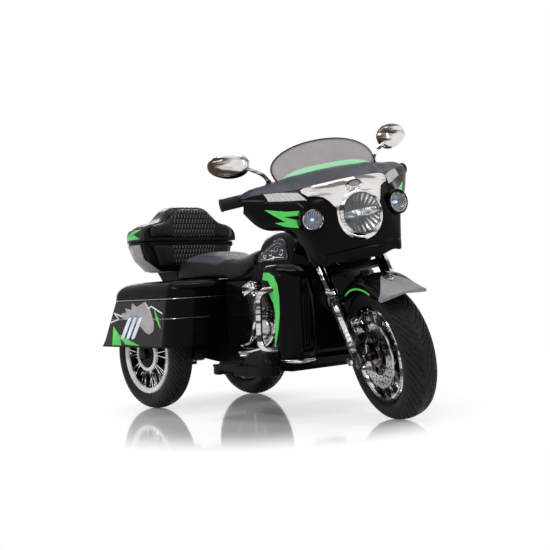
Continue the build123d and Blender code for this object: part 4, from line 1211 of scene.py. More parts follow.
@dataclass
class FrontWheel:
    """Front wheel: tyre, plated rim with a riveted lip, turbine spokes, hub and drilled disc."""

    spokes: int = 14
    body: Body = Body.FRONT_WHEEL

    def build(self) -> None:
        """Makes the tyre, the rim's pieces and the disc."""
        lay = LAYOUT
        hub = tuple(lay.front_hub)
        tread = Tread(24, 3.2, 3.6, 1.25, 0.018)
        tyre = Tyre(hub, lay.front_r, lay.front_w, lay.front_rim, tread)
        add("front_wheel_tyre", tyre.shape(), self.body, TYRE_RUBBER, "tyre", ("front_tyre",),
            sharp=50)
        pieces = (("front_wheel_rim", self.rim(), CHROME, "chrome", ("front_rim",)),
                  ("front_wheel_spokes", self.spoke_set(), CHROME, "chrome", ()),
                  ("front_wheel_barrel", self.barrel(), STEEL, "dark_steel", ()),
                  ("front_wheel_disc", self.disc(), PLATED_DISC, "dark_steel", ("brake_disc",)),
                  ("front_wheel_carrier", self.carrier(), DARK_CHROME, "dark_steel", ()))
        for name, shape, finish, slot, nodes in pieces:
            add(name, shape.moved(*hub), self.body, finish, slot, nodes)

    @staticmethod
    def rim() -> Shape:
        """Two plated lips with small rivets, right and left."""
        lip = LAYOUT.front_rim
        ring = lathe([(lip, -26), (lip, -30), (lip - 2, -32.6), (lip - 7, -33.4), (lip - 12, -31.5),
                      (lip - 14, -28), (lip - 12, -25), (lip - 6, -23)])
        ring = ring + bolts(lip - 6.5, 20, 1.7, -32, -34.4, 8)
        return ring + ring.mirrored()

    def spoke_set(self) -> Shape:
        """Crossed pairs each side of a hub drum, with teardrop webs between them."""
        pair = [spoke(26, 99, lean, lean * -0.3 + 4, 4.6, 4.6, -25, -24) for lean in (-12, 12)]
        web = spoke(30, 98, 13, 17, 5.5, 3.4, -12, -16)
        half = around(join(pair), self.spokes) + around(web, self.spokes)
        hub = lathe([(6.6, -38), (20, -38), (22, -36), (22, -26), (30, -22), (30, 22), (22, 26),
                     (22, 36), (20, 38), (6.6, 38)], segments=72)
        return half + half.mirrored() + hub

    @staticmethod
    def barrel() -> Shape:
        """Rim well between the lips, with a thin wall at its middle."""
        r = LAYOUT.front_rim - 6
        return lathe([(r + 2, -28), (r + 4, 0), (r + 2, 28), (r - 3, 28), (r - 2, 4), (34, 3),
                      (34, -3), (r - 2, -4), (r - 3, -28)])

    @staticmethod
    def disc() -> Shape:
        """Brake disc: a ring with a scalloped edge. The carrier's plugs stand for its holes."""
        n = 240
        t = np.arange(n) * TAU / n
        edge = 77.4 + 1.1 * np.cos(12 * t)
        profile = ((46.0, -33.0), (46.8, -35.0), (edge - 0.8, -35.0), (edge, -33.0),
                   (edge - 0.8, -31.0), (46.8, -31.0))
        points = np.stack([np.column_stack([r * np.cos(t), np.full(n, y), r * np.sin(t)])
                           for r, y in profile], 1)
        return grid(points, wrap_u=True, wrap_v=True)

    @staticmethod
    def carrier() -> Shape:
        """Disc carrier arms, and the drilled holes as short dark plugs just proud of the disc."""
        arms = around(spoke(24, 50, 0, 16, 9, 3, -33, -33), 8)
        plugs = [around(bolts(ring, 1, 2.9, -34, -35.25, 10).turned(start, LEFTWARD), count)
                 for ring, count, start in ((52.5, 20, 0), (60.5, 24, 6), (68.5, 27, 3))]
        ring = lathe([(22.5, -31), (22.5, -36), (28, -36), (29, -34), (29, -31)], segments=64)
        return arms + join(plugs) + ring


# ------------------------------------------------------------------ front fork
@dataclass
class Fork:
    """Front fork: plated tubes, dark sliders with a notched cover, caliper and mudguard."""

    leg_r: float = 17.4
    stanchion_r: float = 14.5
    top: float = 300.0
    body: Body = Body.STEERING

    def build(self) -> None:
        """Makes both legs, the bridge with its horn, the caliper and the mudguard."""
        body = self.body
        for side in Side:
            word = side.word
            y = side.value * LAYOUT.fork_spread
            add(f"fork_{word}_slider", self.slider(y, side), body, DARK_CHROME, "dark_steel",
                (f"fork_leg_{word}",))
            add(f"fork_{word}_tube", self.upper(y), body, CHROME, "chrome")
            add(f"fork_{word}_cover", self.cover(y, side), body, CHROME, "chrome")
            add(f"fork_{word}_shroud", self.shroud(y), body, GLOSS_BLACK, "black_gloss")
        add("fork_bridge", self.bridge(), body, SATIN_BLACK, "black_satin")
        add("fork_horn", self.horn(), body, CHROME, "chrome")
        add("fork_caliper", self.caliper(), body, CHROME, "chrome", ("brake_caliper",))
        add("mudguard_shell", self.mudguard(), body, GLOSS_BLACK, "black_gloss", ("front_fender",))
        add("mudguard_visor", self.visor(), body, VISOR_GREY, "chrome")
        for side in Side:
            add(f"mudguard_{side.word}_stripe", self.stripe(side), body, GREEN, "black_gloss")
            add(f"mudguard_{side.word}_stay", self.stay(side), body, SATIN_BLACK, "black_satin")
        add("mudguard_teardrop", self.teardrop(), body, CHROME, "chrome", ("fender_ornament",))

    @staticmethod
    def turned_leg(profile: Points, y: float) -> Shape:
        """Profile of (radius, up the leg) points turned about a leg."""
        return lathe(profile, LAYOUT.fork(0, y), LAYOUT.up_fork, 48)

    @staticmethod
    def horn() -> Shape:
        """Small round horn on the right of the bridge, turned outward."""
        return lathe([(3, -12), (9, -8), (13, -2), (14, 0), (12, 1), (5, -3), (0.2, -3),
                      (0.2, -12)], LAYOUT.fork(236, -34, 26), (0.95, -0.2, -0.1), 40)

    def slider(self, y: float, side: Side) -> Shape:
        """Lower leg with a domed foot, a waist at the axle and a ringed collar at its top."""
        r = self.leg_r
        leg = self.turned_leg([(0.3, -20), (r - 9, -19.5), (r - 6.5, -17), (r - 5.5, -10),
                               (r - 5.5, 12), (r - 4.5, 24), (r - 2, 38), (r - 1.5, 60),
                               (r - 1, 136), (r + 2, 140), (r + 2, 146), (r + 0.6, 147.5),
                               (r + 2, 149), (r + 2, 155), (r, 158), (0.3, 158)], y)
        eye = straight(LAYOUT.fork(0, y - 17), LAYOUT.fork(0, y + 17), 10.5, 40)
        nut = straight(LAYOUT.fork(0, y + side.value * 19), LAYOUT.fork(0, y + side.value * 25.5),
                       9, 6, LAYOUT.up_fork)
        pinch = straight(LAYOUT.fork(-14, y, -16), LAYOUT.fork(-14, y, 15), 4, 12)
        return leg + eye + nut + pinch

    def upper(self, y: float) -> Shape:
        """Bright upper tube with a thin ring low down."""
        r = self.stanchion_r
        return self.turned_leg([(0.3, 156), (r, 156.5), (r, 168), (r + 1.2, 170), (r + 1.2, 174),
                                (r, 176), (r, self.top - 2), (r - 2, self.top), (0.3, self.top)], y)

    def shroud(self, y: float) -> Shape:
        """Black sleeve over the top of the bright tube."""
        return self.turned_leg([(15.2, 238), (18, 238), (19.5, 240), (19.5, 298), (17, 302),
                                (15.2, 302)], y)

    def cover(self, y: float, side: Side) -> Shape:
        """Strip down the outer front of the slider, notched below its middle."""
        along = np.linspace(16, 132, 117)
        notches = 2.2 * np.clip(np.cos(TAU * along / 11) * 3 + 0.5, 0, 1)
        ridge = notches * (along < 74) + 0.8 * (along >= 74)
        taper = np.minimum(1, np.minimum(along - 14, 134 - along) / 8)
        arc = np.radians(np.linspace(-17, 17, 9))
        outer = self.leg_r - 0.4 + ridge[:, None] * taper[:, None] * np.cos(arc)[None] ** 0.5
        angle = (arc + side.value * math.radians(34))[:, None]
        base = LAYOUT.fork(0, y) + along[:, None, None] * LAYOUT.up_fork
        rays = (np.cos(angle) * LAYOUT.ahead + np.sin(angle) * np.array(LEFTWARD))[None]
        return slab(base + outer[..., None] * rays, base + (self.leg_r - 8.0) * rays)

    @staticmethod
    def bridge() -> Shape:
        """Dark housing between the legs, below the fairing, with a smaller step under it."""
        up = LAYOUT.up_fork
        big = plate(squarish(63, 33, 6, 72), 26, LAYOUT.fork(262, 0, -12), LEFTWARD, up, 3)
        low = plate(squarish(44, 13, 5, 60), 24, LAYOUT.fork(222, 0, -8), LEFTWARD, up, 3)
        return big + low

    @staticmethod
    def caliper() -> Shape:
        """Two-pot caliper on the inside of the right leg, with bolts."""
        y = -LAYOUT.fork_spread + 27
        outline = squarish(22, 15, 3.5, 40)
        body = plate(outline, 20, LAYOUT.fork(78, y - 11, -4), LAYOUT.up_fork, -LAYOUT.ahead, 3)

        def pin(along: float, start: float, end: float, ahead: float, radius: float,
                sides: int) -> Shape:
            """Bar across the caliper, from start to end."""
            return straight(LAYOUT.fork(78 + along, y + start, ahead),
                            LAYOUT.fork(78 + along, y + end, ahead), radius, sides)

        pots = [pin(k * 11, -15, 8, -4, 8.5, 28) for k in (-1, 1)]
        screws = [pin(k * 19, -14, 9, 5, 2.6, 6) for k in (-1, 1)]
        return join([body, *pots, *screws])

    def arch(self, start: float, end: float, n: int = 96, m: int = 49, lift: float = 0.0,
             first: float = -1.0, last: float = 1.0) -> Arr:
        """Grid of the mudguard.

        Across, the section is a flat-topped arch |y/b|^p + ((r - low)/rise)^p = 1; its crown has a
        soft ridge, and the front end flares outward and drops at the sides.

        Args:
            start: First angle up from straight ahead, in degrees.
            end: Last angle.
            n: Rows along the arch.
            m: Columns across it.
            lift: Height over the surface.
            first: First share across, -1 being the right edge and 1 the left.
            last: Last share across.

        Returns:
            Points, n by m.
        """
        turn = np.radians(np.linspace(start, end, n))[:, None]
        share = np.linspace(first, last, m)[None]
        half, low, crown = 52.5, 140.0, 168.4
        angle = share * np.pi / 2
        power = 2 / 3.1
        y = half * np.sign(np.sin(angle)) * np.abs(np.sin(angle)) ** power
        rise = np.abs(np.cos(angle)) ** power
        front = np.clip((66 - np.degrees(turn)) / 20, 0, 1) ** 2
        ridge = 1.2 * np.exp(-(y / 5) ** 2)
        radius = low + (crown - low) * rise + ridge + front * (20 - 12 * rise) + lift
        y = y * (1 + 0.06 * front)
        x, _, z = self.arch_middle
        return np.stack([x + radius * np.cos(turn), y + 0 * turn, z + radius * np.sin(turn)], -1)

    @property
    def arch_middle(self) -> Arr:
        """Middle of the mudguard's arch, a little ahead of and above the hub."""
        return LAYOUT.front_hub + np.array([7.0, 0, 12.0])

    def mudguard(self) -> Shape:
        """Thick shell of the arch."""
        return self.walled(self.arch(47, 128), 3.0)

    def walled(self, points: Arr, wall: float) -> Shape:
        """Wall grown from a grid of the arch towards the tyre."""
        probe = self.arch(60, 100, 5, 5)
        inward = float(normals(probe)[2, 2] @ (probe[2, 2] - self.arch_middle)) < 0
        return shell(points, wall if inward else -wall)

    def visor(self) -> Shape:
        """Silver tip: the front of the arch, its rear edge a V pointing up the crown."""
        n, m = 30, 61
        first, last, count = 46.2, 80.0, 90
        share = np.linspace(-1, 1, m)
        rear = 51 + 27 * (1 - np.abs(share)) ** 2.4
        base = self.arch(first, last, count, m, 0.9)
        degrees = np.linspace(first, last, count)
        want = first + (rear[None] - first) * np.linspace(0, 1, n)[:, None]
        k = np.clip((want - first) / (degrees[1] - degrees[0]), 0, count - 1.001)
        low = k.astype(int)
        part = (k - low)[..., None]
        column = np.arange(m)[None].repeat(n, 0)
        points = base[low, column] * (1 - part) + base[low + 1, column] * part
        return self.walled(points, 1.6)

    def stripe(self, side: Side) -> Shape:
        """Green line round the lower edge of the mudguard's side."""
        points = self.arch(66, 122, 60, 5, first=0.955, last=0.995)
        strip = slab(points + np.array([0, 1.1, 0]), points - np.array([0, 0.6, 0]))
        return strip if side is Side.LEFT else strip.mirrored()

    @staticmethod
    def stay(side: Side) -> Shape:
        """Mudguard bracket at the collar of each leg, with two screws."""
        arm = plate(squarish(10, 7, 5, 32), 15, LAYOUT.fork(150, -66), LAYOUT.ahead,
                    LAYOUT.up_fork, 2).moved(0, 15, 0)
        heads = [straight(LAYOUT.fork(150 + k, -68, 1), LAYOUT.fork(150 + k, -48, 1), 2.4, 6)
                 for k in (-5, 5)]
        return join([arm, *heads]).on(side)

    def teardrop(self) -> Shape:
        """Bright drop on the crown: long oval rings shrinking upward, its peak ahead of the middle."""
        turn = math.radians(72)
        out = np.array([math.cos(turn), 0, math.sin(turn)])
        ahead = np.array([math.sin(turn), 0, -math.cos(turn)])
        base = self.arch_middle + out * 167.6
        rings = []
        ring = circle(1.0, 36)
        narrow = np.where(ring[:, 0] < 0, 1 + 0.45 * ring[:, 0], 1)
        for height, long, wide, lead in ((0, 27, 9.5, 0), (1.5, 27, 9.6, 0), (5, 25, 8.6, 1),
                                         (9, 20, 6.4, 2.5), (11.5, 13, 3.6, 4), (12.4, 5, 1.2, 5)):
            rings.append(base + out * height + ahead * (ring[:, :1] * long + lead)
                         + np.array(LEFTWARD) * (ring[:, 1] * wide * narrow)[:, None])
        return rings_loft(rings)


# ------------------------------------------------------------------ fairing
FAIRING_ROWS: dict[float, list[tuple[float, float]]] = {
    0.0: [(-150, 589), (-104, 581), (-40, 554), (-18, 532), (-6, 503), (-4, 458), (-9, 414), (-19, 370)],
    50.0: [(-152, 588), (-108, 580), (-50, 553), (-27, 532), (-13, 503), (-9, 458), (-13, 414), (-22, 371)],
    84.0: [(-155, 587), (-115, 578), (-65, 552), (-44, 532), (-29, 503), (-20, 458), (-22, 416), (-31, 374)],
    106.0: [(-158, 586), (-121, 577), (-77, 551), (-56, 532), (-39, 504), (-31, 460), (-33, 420), (-43, 379)],
    117.0: [(-160, 585), (-127, 575), (-86, 551), (-63, 533), (-42, 506), (-37, 471), (-44, 438), (-65, 406)],
    130.0: [(-163, 583), (-132, 574), (-97, 552), (-77, 535), (-60, 511), (-54, 482), (-66, 458), (-93, 443)],
    165.0: [(-171, 578), (-149, 571), (-125, 556), (-113, 543), (-103, 525), (-101, 504), (-112, 484),
            (-132, 471)],
    196.0: [(-174, 573), (-161, 568), (-148, 558), (-139, 548), (-133, 534), (-133, 516), (-141, 499),
            (-157, 492)],
    217.0: [(-176, 563), (-169, 560), (-163, 556), (-159, 551), (-157, 545), (-157, 538), (-161, 532),
            (-168, 526)],
}


@dataclass(frozen=True)
class Skin:
    """Fairing skin through FAIRING_ROWS: at each distance from the middle, (x ahead of the hub, z).

    A row runs from the back of the top, over its front edge, down to the lower lip.
    """

    edge: int = 2
    last: int = 7

    def rows(self) -> tuple[Arr, Arr]:
        """Distances from the middle, both sides, and the rows there."""
        keys = sorted(FAIRING_ROWS)
        ys = np.array([-k for k in keys[:0:-1]] + keys)
        values = np.array([FAIRING_ROWS[abs(y)] for y in ys], float)
        values[..., 0] += LAYOUT.wheelbase
        return ys, values

    def points(self, ys: Arr, vs: Arr) -> Arr:
        """Points across and along: cubic along each row in two parts, then cubic across."""
        keys, rows = self.rows()
        along = np.moveaxis(rows, 1, 0)
        top = cubic(np.arange(self.edge + 1.0), along[:self.edge + 1], np.minimum(vs, self.edge))
        nose = cubic(np.arange(self.edge, self.last + 1.0), along[self.edge:],
                     np.maximum(vs, self.edge))
        mixed = np.where((vs <= self.edge)[:, None, None], top, nose)
        xz = cubic(keys, np.moveaxis(mixed, 1, 0), ys)
        y = np.broadcast_to(ys[:, None, None], (*xz.shape[:2], 1))
        return np.concatenate([xz[..., :1], y, xz[..., 1:]], -1)

    def on_nose(self, y: Arr, z: Arr, lift: float = 0.0) -> Arr:
        """Points of the nose at places (y, z) seen from ahead, raised along their normals."""
        ys, zs, table = depth_table(self)

        def depth(a: Arr, b: Arr) -> Arr:
            """X between the table's nearest four entries."""
            i = np.clip((a - ys[0]) / (ys[1] - ys[0]), 0, len(ys) - 1.001)
            j = np.clip((b - zs[0]) / (zs[1] - zs[0]), 0, len(zs) - 1.001)
            i0, j0 = i.astype(int), j.astype(int)
            u, v = i - i0, j - j0
            return ((1 - u) * (1 - v) * table[i0, j0] + u * (1 - v) * table[i0 + 1, j0]
                    + (1 - u) * v * table[i0, j0 + 1] + u * v * table[i0 + 1, j0 + 1])
        x = depth(y, z)
        dy = (depth(y + 2, z) - depth(y - 2, z)) / 4
        dz = (depth(y, z + 2) - depth(y, z - 2)) / 4
        n = np.stack([np.ones_like(x), -dy, -dz], -1)
        n /= np.linalg.norm(n, axis=-1, keepdims=True)
        return np.stack([x, y, z], -1) + n * lift


@lru_cache(maxsize=None)
def depth_table(skin: Skin) -> tuple[Arr, Arr, Arr]:
    """Places across and up, and X of the nose there, read from each row by height."""
    ys, zs = np.linspace(-216, 216, 217), np.linspace(362, 560, 199)
    points = skin.points(ys, np.linspace(skin.edge, skin.last, 161))
    table = np.array([np.interp(zs, row[::-1, 2], row[::-1, 0]) for row in points])
    return ys, zs, table


SKIN = Skin()


def length_along(points: Arr) -> Arr:
    """Distance along a line of points, from its first."""
    return np.concatenate([[0], np.cumsum(np.linalg.norm(np.diff(points, axis=0), axis=1))])


def between(first: Points, second: Points, n: int = 60, m: int = 7) -> tuple[Arr, Arr]:
    """Places between two lines of (across, up) points: n along, by m from one to the other."""
    def line(points: Points) -> Arr:
        """Samples of the line by its length, its corners among them."""
        p = np.asarray(points, float)
        run = length_along(p)
        even = np.union1d(np.linspace(0, run[-1], n), run)
        even = np.interp(np.linspace(0, len(even) - 1, n), np.arange(len(even)), even)
        return np.stack([np.interp(even, run, p[:, k]) for k in (0, 1)], -1)
    a, b = line(first), line(second)
    t = np.linspace(0, 1, m)[None, :, None]
    both = a[:, None] * (1 - t) + b[:, None] * t
    return both[..., 0], both[..., 1]


def nose_patch(first: Points, second: Points, lift: float, thick: float, n: int = 70,
               m: int = 9) -> Shape:
    """Closed film or trim on the nose between two lines of (y, z), standing proud by lift."""
    y, z = between(first, second, n, m)
    return two_sided(SKIN.on_nose(y, z, lift), SKIN.on_nose(y, z, lift - thick))


def two_sided(top: Arr, foot: Arr) -> Shape:
    """Closed sheet from its top and bottom grids, joined round all four edges."""
    loop = np.concatenate([top, foot[:, ::-1]], axis=1)
    body = grid(loop, wrap_v=True)
    n, m = loop.shape[:2]
    half = top.shape[1]
    ends = []
    for row in (0, n - 1):
        k = np.arange(half - 1)
        a, b = row * m + k, row * m + k + 1
        ends.append(np.stack([a, b, row * m + (m - 1 - (k + 1)), row * m + (m - 1 - k)], -1))
    return Shape(body.verts, np.vstack([body.quads, *ends]), body.tris, body.uv)


def ring_about(middle: Point, radii: Point, angles: Point) -> Arr:
    """Points (across, up) round a middle at angles in degrees."""
    t, r = np.radians(np.asarray(angles, float)), np.asarray(radii, float)
    return np.stack([middle[0] + r * np.cos(t), middle[1] + r * np.sin(t)], -1)


@dataclass
class Fairing:
    """Fairing: brow, nose, plated moustache, corner signals, bolt marks and the oval boss."""

    lamp_z: float = 474.0
    lamp_r: float = 56.0
    crease: float = 2.6
    roll_r: float = 3.6
    marks: tuple = (
        ("upper", (([(181, 522.5), (163, 515.5), (145, 508.5), (125, 505)],
                    [(181, 521.5), (166, 504), (152, 498.7), (130, 495)]),)),
        ("lower", (([(167, 506.5), (152, 498.7), (132, 485.5)],
                    [(167, 505), (148.6, 486), (132, 484)]),
                   ([(165, 488.8), (148.6, 486.3), (132, 484.5)],
                    [(165, 488), (148.6, 476), (129, 467)]))))
    body: Body = Body.STEERING

    def build(self) -> None:
        """Makes the brow, the nose and everything laid on them."""
        body = self.body
        add("fairing_nose", self.nose(), body, GLOSS_BLACK, "black_gloss", ("fairing_shell",))
        # The brow's grey is a painted highlight on the fairing's top face.
        add("fairing_brow", self.brow(), body, CHARCOAL_AND_BROW_HIGHLIGHT, "black_satin")
        add("fairing_moustache", self.moustache(), body, WARM_CHROME, "chrome",
            ("fairing_chrome",))
        add("fairing_oval", self.oval_part([(1.0, -3), (1.0, 3), (0.9, 4.4), (0.5, 5.4), (0.02, 5.6)]),
            body, VISOR_GREY, "black_satin")
        add("fairing_oval_rim", self.oval_part([(1.0, -3), (1.4, -3), (1.36, 3.6), (1.24, 5.6),
                                                (1.04, 6.2), (1.0, 3)]), body, CHROME, "chrome")
        for side in Side:
            word = side.word
            add(f"signal_{word}_lens", self.signal(side, 0, 3.2), body, PRISM_LENS, "clear_lens",
                (f"turn_signal_{word}",))
            add(f"signal_{word}_frame", self.signal(side, 4.0, 2.0), body, SATIN_BLACK,
                "black_satin")
            for level, parts in self.marks:
                add(f"fairing_{word}_{level}_bolt", self.bolt_mark(side, parts), body, GREEN,
                    "black_gloss")

    def nose(self) -> Shape:
        """Nose skin with a crease under the brow and one low down, open behind the lamps."""
        ys = np.linspace(-216.5, 216.5, 223)
        vs = np.concatenate([np.linspace(2, 6.55, 150), [6.7, 6.85, 7.0]])
        points = SKIN.points(ys, vs)
        y, z = points[..., 1], points[..., 2]
        high_line = 527 + np.maximum(np.abs(y) - 75, 0) * 0.13
        low_line = 397 - 0.03 * np.abs(y)
        step = self.crease * np.clip((z - high_line) / 1.4 + 0.5, 0, 1)
        step = step - self.crease * np.exp(-((z - low_line) / 2.2) ** 2)
        points = points + self.outward(points) * step[..., None]
        whole = two_sided(points, points - self.outward(points) * 3.5)
        mid = whole.verts[whole.quads].mean(1)
        away = np.hypot(mid[:, 1], mid[:, 2] - self.lamp_z)
        spot = Lamps.spot
        aside = np.hypot(np.abs(mid[:, 1]) - spot[1], mid[:, 2] - spot[2])
        keep = (away > self.lamp_r - 1) & (aside > Lamps.spot_r)
        return Shape(whole.verts, whole.quads[keep], whole.tris, whole.uv)

    @staticmethod
    def outward(points: Arr) -> Arr:
        """Normals of a skin grid, turned to point ahead and up."""
        n = normals(points)
        return n * np.sign(n[n.shape[0] // 2, n.shape[1] // 2] @ np.array([1.0, 0, 0.6]))

    def brow(self) -> Shape:
        """Brow: the top skin, its front edge rolled over the nose's crease."""
        ys = np.linspace(-215, 215, 215)
        vs = np.concatenate([np.linspace(0, 1.86, 42), np.linspace(1.9, 2.0, 6)])
        points = SKIN.points(ys, vs)
        n = self.outward(points)
        top = points + n * (3.4 * np.clip((vs - 0.1) / 0.5, 0, 1)[None, :, None])
        edge, out = top[:, -1:], n[:, -1:]
        roll = [edge + out * self.roll_r * (math.cos(angle) - 1)
                + np.array(AHEAD) * self.roll_r * math.sin(angle)
                for angle in np.radians([25, 50, 75, 100, 125])]
        foot = [points - n * 1.5, *[points[:, -1:] - out * 2.2] * len(roll)]
        return two_sided(np.concatenate([top, *roll], axis=1), np.concatenate(foot, axis=1))

    def moustache(self) -> Shape:
        """Plated band under the brow, its wings tapering out, and the U round the headlight."""
        outer = [(106, 540), (98, 529), (84, 527), (71, 522), (63, 512), (57, 500), (51, 489)]
        inner = ring_about((0, self.lamp_z), [51] * 13, np.linspace(17, 90, 13))
        low = [*outer, *inner.tolist()]
        low = low + [(-y, z) for y, z in low[-2::-1]]
        top = [(104.5, 546), (96, 549.5), (60, 552), (20, 553), (0, 553)]
        top = top + [(-y, z) for y, z in top[-2::-1]]
        band = nose_patch(top, low, 5.0, 7.0, n=150, m=17)
        angles = np.linspace(24, -204, 130)
        wide = np.interp(angles, [-204, -180, -150, -120, -90, -60, -30, 0, 24],
                         [57, 56, 58, 60, 61, 60, 58, 56, 57])
        outline = ring_about((0, self.lamp_z), wide, angles)
        hole = ring_about((0, self.lamp_z), np.full(130, 48.6), angles)
        y, z = between(outline, hole, 130, 9)
        middle = np.sin(np.linspace(0, np.pi, 9))[None]
        bed = SKIN.on_nose(y, z)
        proud = bed + np.array(AHEAD) * (3 + 3.2 * middle)[..., None]
        return band + two_sided(proud, bed - np.array([3, 0, 0]))

    @staticmethod
    def signal(side: Side, grow: float, lift: float) -> Shape:
        """Corner signal lens, a quadrilateral between brow and spot lamp."""
        corners = np.array([(172, 560), (112, 543), (104, 523), (169, 538)], float)
        middle = corners.mean(0)
        away = corners - middle
        corners = middle + away * (1 + grow / np.linalg.norm(away, axis=1, keepdims=True))
        corners = corners * np.array([side.value, 1])
        return nose_patch(corners[[1, 0]], corners[[2, 3]], lift, 4.5, n=40, m=15)

    @staticmethod
    def bolt_mark(side: Side, parts: Sequence[tuple[Points, Points]]) -> Shape:
        """Flat jagged mark behind the spot lamp, from pairs of its upper and lower lines."""
        flip = np.array([side.value, 1])
        return join(nose_patch(high * flip, low * flip, 0.7, 1.4, n=60) for high, low in parts)

    @staticmethod
    def oval_part(profile: Points) -> Shape:
        """Ring or boss facing ahead and up, of (share of the oval's halves, height) points."""
        n = np.array([0.93, 0, 0.37])
        up = np.array([-0.37, 0, 0.93])
        middle = np.array([LAYOUT.wheelbase - 12, 0, 539.0])
        ring = circle(1.0, 56)
        rings = [middle + n * h + np.array(LEFTWARD) * (ring[:, :1] * 14.5 * s)
                 + up * (ring[:, 1:] * 8 * s) for s, h in profile]
        closed = profile[-1][0] > 0.1
        return grid(np.stack(rings), wrap_u=closed, wrap_v=True, caps=not closed)


@dataclass
class Lamps:
    """Headlight in its bright bezel and the two spot lamps in black cups."""

    middle: tuple[float, float] = (3.0, 474.0)
    spot: tuple[float, float, float] = (-23.0, 109.0, 480.0)
    spot_r: float = 23.5
    toe: float = 14.0
    body: Body = Body.STEERING

    def build(self) -> None:
        """Makes the headlight and both spots."""
        body = self.body
        x, z = LAYOUT.wheelbase + self.middle[0], self.middle[1]

        def lamp(profile: Points, segments: int = 96, y: float = 0) -> Shape:
            """Ring of (radius, ahead) points about the headlight's line, or one beside it."""
            return lathe(profile, (x, y, z), AHEAD, segments)

        bezel = lamp([(43.5, -22), (57, -22), (52, -5), (49.4, -0.5), (47.6, 0.5), (45.8, -0.6),
                      (44.6, -5)])
        bowl = lamp([(45.5, -3), (42, -7), (34, -13), (22, -20), (8, -24), (0.2, -24), (0.2, -27),
                     (10, -27), (24, -23), (36, -16), (45.5, -6)], 120)
        point = lamp([(6.2, -6), (6.0, -0.8), (3.4, 1.0), (0.1, 1.4), (0.1, -6)], 24, -9)
        glass = lamp([(45.4, -3.5), (44.5, 0.5), (38, 3.2), (26, 5.8), (12, 7.2), (0.2, 7.6),
                      (0.2, 6.2), (12, 5.8), (26, 4.4), (37.5, 1.8), (44, -1), (44, -3.5)])
        add("headlight_bezel", bezel, body, CHROME, "chrome", ("headlight",))
        add("headlight_bowl", self.facing(bowl, 0, z, 45.5), body, BOWL, "chrome")
        add("headlight_bar", self.bar(x, z, 11.5, 0.0), body, SATIN_BLACK, "black_satin")
        add("headlight_projector", self.bar(x, z, 9.2, 1.3), body, BLUE_GLASS, "clear_lens")
        add("headlight_point", point, body, BLUE_POINT, "clear_lens")
        add("headlight_glass", glass, body, LAMP_GLASS, "clear_lens")
        for side in Side:
            self.build_spot(side)

    @staticmethod
    def facing(shape: Shape, y: float, z: float, radius: float) -> Shape:
        """The shape with its surface place across and up, in shares of a lamp's radius."""
        shape.uv = (shape.verts[:, 1:] - [y, z]) / radius
        return shape

    @staticmethod
    def bar(x: float, z: float, tall: float, proud: float) -> Shape:
        """Bar across the bowl, lower and set back at its ends: half height tall (1 - 0.35 t^4)."""
        t = np.linspace(-1, 1, 61)[:, None]
        section = squarish(1, 1, 4, 28)[None]
        steps = 1 + 0.12 * (np.cos(t * 34) > 0) * (proud > 0)
        return grid(np.stack([x + proud - 7 - 5 * t ** 2 + 6 * section[..., 0] * steps,
                              43.5 * t * (1 - 0.03 * proud) + 0 * section[..., 0],
                              z + tall * (1 - 0.35 * t ** 4) * section[..., 1]], -1),
                    wrap_v=True, caps=True)

    def build_spot(self, side: Side) -> None:
        """One spot lamp: cup, chrome ring, ribbed reflector, small bulb and clear glass."""
        x, y, z = LAYOUT.wheelbase + self.spot[0], side.value * self.spot[1], self.spot[2]
        r = self.spot_r
        cup = [(r + 9, -36), (r + 9, -24), (r + 7, -11), (r + 6, -4), (r + 5, 0.5), (r + 3.4, 1.8),
               (r + 1.4, 1.2), (r, -2), (r, -36)]
        ring = [(r + 0.4, -6), (r + 0.4, 0.6), (r - 0.4, 1.4), (r - 1.8, 0.6), (r - 2.4, -6)]
        bowl = [(r - 2.6, -2), (r - 5, -6), (r - 11, -13), (r - 20, -18), (0.2, -19.5), (0.2, -22),
                (r - 18, -21), (r - 8, -16), (r - 2.6, -6)]
        bulb = [(3.4, -19), (3.4, -8), (2.4, -6.4), (0.2, -6), (0.2, -19)]
        glass = [(r - 2.4, -2.2), (r - 3.2, 0.6), (r - 9, 2.8), (r - 20, 4.2), (0.2, 4.6),
                 (0.2, 3.4), (r - 20, 3), (r - 9, 1.6), (r - 3.6, -0.8), (r - 3.4, -2.2)]
        for part, profile, segments, finish, slot, *nodes in (
                ("cup", cup, 72, GLOSS_BLACK, "black_gloss", f"spot_lamp_{side.word}"),
                ("ring", ring, 72, CHROME, "chrome"),
                ("bowl", bowl, 72, BOWL, "chrome"),
                ("bulb", bulb, 24, BLUE_POINT, "clear_lens"),
                ("glass", glass, 72, LAMP_GLASS, "clear_lens")):
            shape = self.facing(lathe(profile, axis=AHEAD, segments=segments), 0, 0, r)
            add(f"spot_{side.word}_{part}", shape.turned(side.value * self.toe, UP).moved(x, y, z),
                self.body, finish, slot, nodes)


